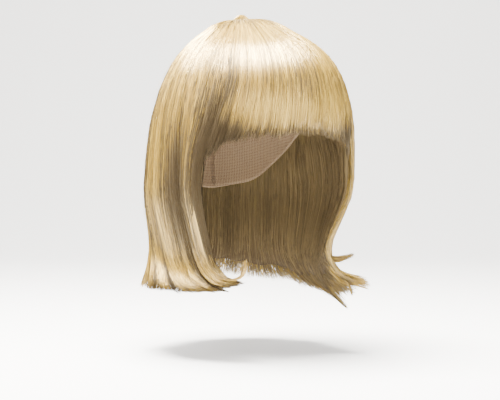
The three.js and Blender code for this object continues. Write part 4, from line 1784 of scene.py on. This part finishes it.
@dataclass
class Studio:
    """The pale floor, the soft lights and the camera at the photograph's angle, in metres."""

    camera_azimuth: float = -27.0
    camera_distance: float = 1.6
    camera_height: float = -0.092
    aim_height: float = -0.1588
    aim_right: float = -0.0015
    picture_width: float = 0.4902
    sensor: float = 36.0
    floor_height: float = -0.31
    floor_size: float = 12.0
    floor_ends: float = 1.2
    floor_glow: float = 0.5
    bend_radius: float = 0.8
    bend_steps: int = 12
    wall_height: float = 3.5
    light_colour: tuple[float, float, float] = (1.0, 0.97, 0.91)
    light_aim: float = -0.1
    lamps: tuple[Lamp, ...] = (
        Lamp("top", (-0.18, 0.10, 0.9), 0.75, 195),
        Lamp("front", (-0.2, 1.6, 0.3), 0.8, 16),
        Lamp("left_fill", (-1.2, 0.5, 0.9), 0.7, 18),
        Lamp("right_fill", (1.5, 0.8, 0.5), 1.2, 10),
    )
    room_light: float = 0.12
    room_seen: float = 0.72

    def at(self, right: float, near: float, up: float) -> Vector:
        """Finds a place as seen from the camera.

        Args:
            right: How far it lies to the camera's right.
            near: How far it lies towards the camera.
            up: How high it lies.

        Returns:
            The place in metres.
        """
        angle = math.radians(self.camera_azimuth)
        across = Vector((math.cos(angle), math.sin(angle), 0))
        towards = Vector((math.sin(angle), -math.cos(angle), 0))
        return across * right + towards * near + Vector((0, 0, up))

    def stand(self, name: str, data: bpy.types.ID, place: Vector, aim: Vector) -> bpy.types.Object:
        """Adds a camera or a light that looks from one place to another.

        Args:
            name: The object's name.
            data: The camera or the light.
            place: Where it stands.
            aim: Where it looks.

        Returns:
            The new object.
        """
        placed = bpy.data.objects.new(name, data)
        placed.location = place
        placed.rotation_euler = (aim - place).to_track_quat("-Z", "Y").to_euler()
        bpy.context.scene.collection.objects.link(placed)
        return placed

    def camera(self) -> None:
        """Adds the camera."""
        data = bpy.data.cameras.new("camera")
        data.sensor_width = self.sensor
        data.lens = self.sensor * self.camera_distance / self.picture_width
        place = self.at(self.aim_right, self.camera_distance, self.camera_height)
        aim = self.at(self.aim_right, 0, self.aim_height)
        bpy.context.scene.camera = self.stand("camera", data, place, aim)

    def backdrop(self) -> None:
        """Adds the floor, which sweeps up behind the wig into a wall."""
        half = self.floor_size / 2
        bend = np.linspace(0, math.pi / 2, self.bend_steps)
        away = self.floor_ends + self.bend_radius * np.sin(bend)
        rise = self.bend_radius * (1 - np.cos(bend))
        # The bend's first row comes twice, so that the floor before it is shaded as flat.
        profile = [(-half, 0), (self.floor_ends, 0), *zip(away, rise), (away[-1], self.wall_height)]
        points = [self.at(s, -r, self.floor_height + h) for r, h in profile for s in (-half, half)]
        faces = [(2 * j, 2 * j + 1, 2 * j + 3, 2 * j + 2) for j in range(len(profile) - 1)]
        mesh = bpy.data.meshes.new("floor")
        mesh.from_pydata(points, [], faces)
        mesh.shade_smooth()
        material = bpy.data.materials.new("pale_floor")
        material.use_nodes = True
        fill(material.node_tree, material.node_tree.nodes["Principled BSDF"], {
            "Base Color": (0.9, 0.9, 0.9, 1),
            "Roughness": 0.7,
            "Emission Color": (1, 1, 1, 1),
            "Emission Strength": self.floor_glow,
        })
        mesh.materials.append(material)
        floor = bpy.data.objects.new("floor", mesh)
        bpy.context.scene.collection.objects.link(floor)

    def lights(self) -> None:
        """Adds the lights: one high in front for the crown's shine, and fills beside the camera."""
        for lamp in self.lamps:
            data = bpy.data.lights.new(lamp.name, "AREA")
            data.size = lamp.size
            data.color = self.light_colour
            data.energy = lamp.watts
            self.stand(lamp.name, data, self.at(*lamp.place), Vector((0, 0, self.light_aim)))

    def room(self) -> None:
        """Adds the white room, which lights the wig dimly and looks as pale as the floor."""
        world = bpy.data.worlds.new("room")
        world.use_nodes = True
        tree = world.node_tree
        white = (1, 1, 1, 1)
        glow = tree.nodes["Background"]
        fill(tree, glow, {"Color": white, "Strength": self.room_light})
        seen = add_node(tree, "ShaderNodeBackground", {"Color": white, "Strength": self.room_seen})
        ray = add_node(tree, "ShaderNodeLightPath")
        mix = add_node(tree, "ShaderNodeMixShader", {
            "Fac": ray.outputs["Is Camera Ray"],
            1: glow.outputs["Background"],
            2: seen.outputs["Background"],
        })
        fill(tree, tree.nodes["World Output"], {"Surface": mix.outputs["Shader"]})
        bpy.context.scene.world = world

    def build(self) -> None:
        """Sets up the studio."""
        self.camera()
        self.backdrop()
        self.lights()
        self.room()


def main() -> None:
    """Builds the wig's pieces in order, and the studio round them."""
    logging.basicConfig(level=logging.INFO, format="%(name)s: %(message)s")
    form = HairForm()
    tone = tone_group()
    fibre = FibreFinish().material(tone)
    inner_fibre = InnerFinish().material(tone)
    undercoat = UndercoatFinish().material(tone)
    tree = FibreTree()
    Cap().build(form, NetFinish())
    Whorl().build(form, tree, fibre, undercoat)
    for section in wig_sections():
        section.build(form, tree, fibre, inner_fibre, undercoat)
    Flicks().build(form, tree, fibre)
    Strays().build(form, tree, fibre)
    Studio().build()


if __name__ == "__main__":
    main()
